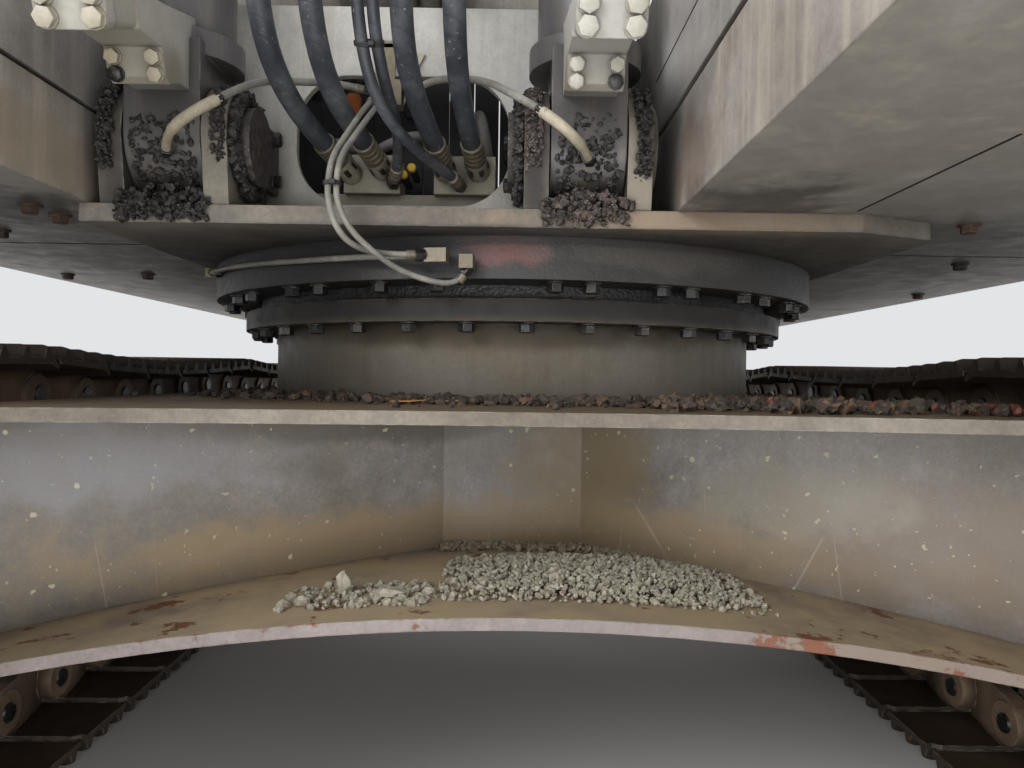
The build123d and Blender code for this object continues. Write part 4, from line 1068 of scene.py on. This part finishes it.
def rounded_plate(width, height, corner, near, far, middle):
    """A plate across the cylinder's front with round corners, from near to far along Y."""
    outline = []
    for across, up, start in ((1, 1, 0), (-1, 1, 90), (-1, -1, 180), (1, -1, 270)):
        for step in range(5):
            turn = radians(start + step * 22.5)
            outline.append((across * (width / 2 - corner) + corner * cos(turn),
                            middle + up * (height / 2 - corner) + corner * sin(turn)))
    return loft([[(x, y, z) for x, z in outline] for y in (far, near)])


def add_valves():
    """The valve in front of each cylinder's neck: a rising shoulder and a flanged body with bolts."""
    outline = ((-0.045, 0.098), (-0.105, 0.117), (-0.149, 0.117), (-0.161, 0.129), (-0.161, 0.175),
               (-0.235, 0.199), (-0.235, 0.259), (-0.120, 0.240), (0.010, 0.225))
    bolt_rows = ((0.034, -0.341, (0.210, 0.2405), 0.027), (0.033, -0.161, (0.133, 0.160), 0.022))
    for side_name, side in both_sides.items():
        valve = Shape()
        leaning = at((boom_x + side * cylinder_offset, foot_pin.y, foot_pin.z))
        leaning = leaning @ Matrix.Rotation(radians(valve_lean), 4, "X")
        valve.add(loft([[(x, y, z) for y, z in outline] for x in (0.048, -0.048)]), leaning)
        valve.add(rounded_plate(0.090, 0.060, 0.011, -0.316, -0.230, 0.229), leaning)
        valve.add(rounded_plate(0.103, 0.070, 0.016, -0.341, -0.315, 0.229), leaning)
        spin = 0.2
        for columns, front, rows, width in bolt_rows:
            for x in (-columns, columns):
                for z in rows:
                    spin += 0.7
                    place = leaning @ facing((x, front, z), (0, -1, 0), spin)
                    finish = 2 if width < 0.025 and x * side > 0 and z < 0.15 else 1
                    valve.bolt(place, width, 0.002, 0.014, width * 0.62, 0.003, finish)
        valve.piece("valve_" + side_name, "boom_cylinder_" + side_name, "block_metal", valve_paint, bolt_pale,
                    bolt_steel, replaces=("valve_block_" + side_name,))


def add_lock_bolts():
    locks = Shape()
    for side in (-1, 1):
        for z in (1.295, 1.381):
            place = facing((boom_x + side * 0.2445, -0.700, z), (-side, 0, 0), z * 9)
            locks.bolt(place, 0.026, 0.002, 0.017, 0.017, 0.003)
    locks.piece("lock_bolts", "upper_frame", "greased_steel", bolt_steel)


def foot_spot(middle, sign, across, turns, radius, spread):
    """Spots about a foot pin: ranges of the place across, the turn up from the front and the radius."""
    def spot(rng):
        turn = rng.uniform(*turns)
        reach = radius + rng.uniform(*spread)
        return Vector((middle + sign * rng.uniform(*across), foot_pin.y - reach * cos(turn),
                       foot_pin.z + reach * sin(turn)))
    return spot


def add_crusts():
    """Old grease and grit round the cylinders' feet."""
    rng = random.Random(47)
    crust = Shape()
    for side in (-1, 1):
        middle = boom_x + side * cylinder_offset
        at_left = side > 0
        pale = int(at_left)

        def heap(rng):
            x = middle + rng.uniform(-0.085, 0.080)
            y = -rng.uniform(0.842, 0.905)
            z = 1.206 + 0.040 * rng.random() * max(0, 1 - ((x - middle) / 0.095) ** 2)
            if y < -0.893:
                z = rng.uniform(1.178, 1.222)
            return Vector((x, y, z)) if hypot(y - foot_pin.y, z - foot_pin.z) > 0.127 else None

        on_pin = foot_spot(middle - side * ear_face_reach, -side, (-0.002, 0.007), (0, 2 * pi), 0,
                           (0.080, 0.097))
        on_ear = foot_spot(middle, -side, (0.086, 0.112), (-1.4, 1.25), 0.108, (-0.002, 0.005))
        on_plate = foot_spot(middle, side, (0.086, 0.112), (-1.2, 1.0), 0.112, (-0.004, 0.008))
        scatter(crust, rng, 420, on_pin, (0.004, 0.006, 0.008, 0.010), crumbs)
        scatter(crust, rng, 560 if at_left else 150, on_ear, (0.003, 0.004, 0.005, 0.006), crumbs, pale)
        scatter(crust, rng, 560, heap, (0.004, 0.005, 0.007, 0.009), crumbs, pale)
        scatter(crust, rng, 300, on_plate, (0.003, 0.004, 0.006), crumbs)
    crust.piece("grease_crusts", "upper_frame", "greased_steel", clod_grease, clod_pale, angle=20)
    for side_name, side in both_sides.items():
        stuck = Shape()
        middle = boom_x + side * cylinder_offset
        on_eye = foot_spot(middle, 1, (-0.056, 0.056), (-1.3, 0.5), 0, (0.1035, 0.107))
        scatter(stuck, rng, 210, on_eye, (0.003, 0.004, 0.006, 0.008), crumbs)
        stuck.piece("eye_grit_" + side_name, "boom_cylinder_" + side_name, "greased_steel", clod_grease,
                    angle=20)


def add_behind_opening():
    """What shows through the front plate's opening: valve sections painted near black as the shade behind it,
    pipes and caps.
    """
    rng = random.Random(5)
    back = Shape()
    # Painted shade: near-black valve sections fill the dark space behind the opening
    for index in range(9):
        x = -0.520 + index * 0.060
        front = -0.428 - rng.uniform(0, 0.012)
        back.add(block((x, front, 1.262), (x + 0.057, -0.402, 1.790 - rng.uniform(0, 0.03))))
        back.add(lathe(((0.017, 0), (0.017, 0.016), (0.012, 0.020)), 16),
                 facing((x + 0.028, front, rng.uniform(1.42, 1.62)), (0, -1, 0)))
    back.piece("valve_sections", "upper_frame", "frame_steel", black_and_painted_shade)
    parts = Shape()
    for radius, route in (
            (0.012, ((-0.345, -0.510, 1.400), (-0.300, -0.555, 1.412), (-0.240, -0.560, 1.436),
                     (-0.200, -0.520, 1.446), (-0.190, -0.440, 1.450))),
            (0.010, ((-0.420, -0.440, 1.440), (-0.415, -0.540, 1.430), (-0.380, -0.560, 1.412),
                     (-0.340, -0.520, 1.400))),
            (0.012, ((-0.090, -0.440, 1.520), (-0.085, -0.540, 1.500), (-0.070, -0.560, 1.440),
                     (-0.062, -0.540, 1.382)))):
        line = smooth_line(route)
        parts.add(tube(line, [radius] * len(line), 12))
    parts.add(lathe(((0.014, 1.500), (0.019, 1.504), (0.019, 1.552), (0.014, 1.558)), 20),
              at((-0.383, -0.470, 0)), 1)
    parts.add(block((-0.392, -0.472, 1.520), (-0.374, -0.425, 1.540)))
    for x in (-0.369, -0.156):
        place = facing((x, -0.452, 1.318), (0, -0.45, -0.9))
        parts.add(rod(0.019, -0.052, 0.0, 20), place, 4)
        parts.add(lathe(((0.0205, 0), (0.0205, 0.008), (0.016, 0.012)), 20), place, 2)
    for x, z in ((-0.229, 1.356), (-0.247, 1.341)):
        place = facing((x, -0.592, z), (0, -1, 0))
        parts.add(rod(0.008, -0.100, 0.0, 14), place, 4)
        parts.add(lathe(((0.0095, 0), (0.0095, 0.010), (0.007, 0.013)), 16), place, 3)
    strap = []
    for x, y, right_z, left_z in ((-0.196, -0.651, 1.580, 1.580), (-0.222, -0.651, 1.528, 1.524),
                                  (-0.241, -0.640, 1.476, 1.474)):
        strap.append([(x, y, right_z), (x - 0.014, y, left_z), (x - 0.014, y - 0.005, left_z),
                      (x, y - 0.005, right_z)])
    parts.add(loft(strap), finish=5)
    parts.piece("valve_pipes", "upper_frame", "frame_steel", pipe_grey, cap_orange, cap_red, cap_yellow,
                black_and_painted_shade, bolt_pale)


def add_deck_details():
    """Bolts, seams and joints under and beside the decks."""
    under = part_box("cab_deck")[0].z
    details = Shape()
    for x, y in ((0.870, -0.810), (1.136, -0.324), (1.390, 0.360), (-0.895, -0.865), (-0.890, -0.777),
                 (-1.118, -0.604), (-1.392, 0.146), (-1.130, 0.118)):
        details.bolt(facing((x, y, under), (0, 0, -1), x * 7), 0.028, 0.003, 0.017, 0.021, 0.0035)
    for low, high in (((0.604, -1.360, under - 0.0008), (0.608, -0.920, under + 0.001)),
                      ((0.620, -0.442, under - 0.0008), (1.480, -0.438, under + 0.001)),
                      ((0.2902, -1.980, 1.5262), (0.292, -0.660, 1.5284)),
                      ((-1.480, -0.442, under - 0.0008), (-0.800, -0.438, under + 0.001))):
        details.add(block(low, high), finish=1)
    details.piece("deck_details", "upper_frame", "deck_paint", bolt_rusty, black_and_painted_shade)


add_camera()
add_surroundings()
cord_pieces = add_grease_ends()
cord_pieces["ring_line_2"] = add_line_fittings()
for hose_name in hoses:
    add_hose(hose_name)
dress_nodes()
for side_name, side in both_sides.items():
    add_track(side_name, side)
add_ring_bolts()
add_gravel()
add_crumbs()
add_fittings()
add_valves()
add_lock_bolts()
add_crusts()
add_behind_opening()
add_deck_details()
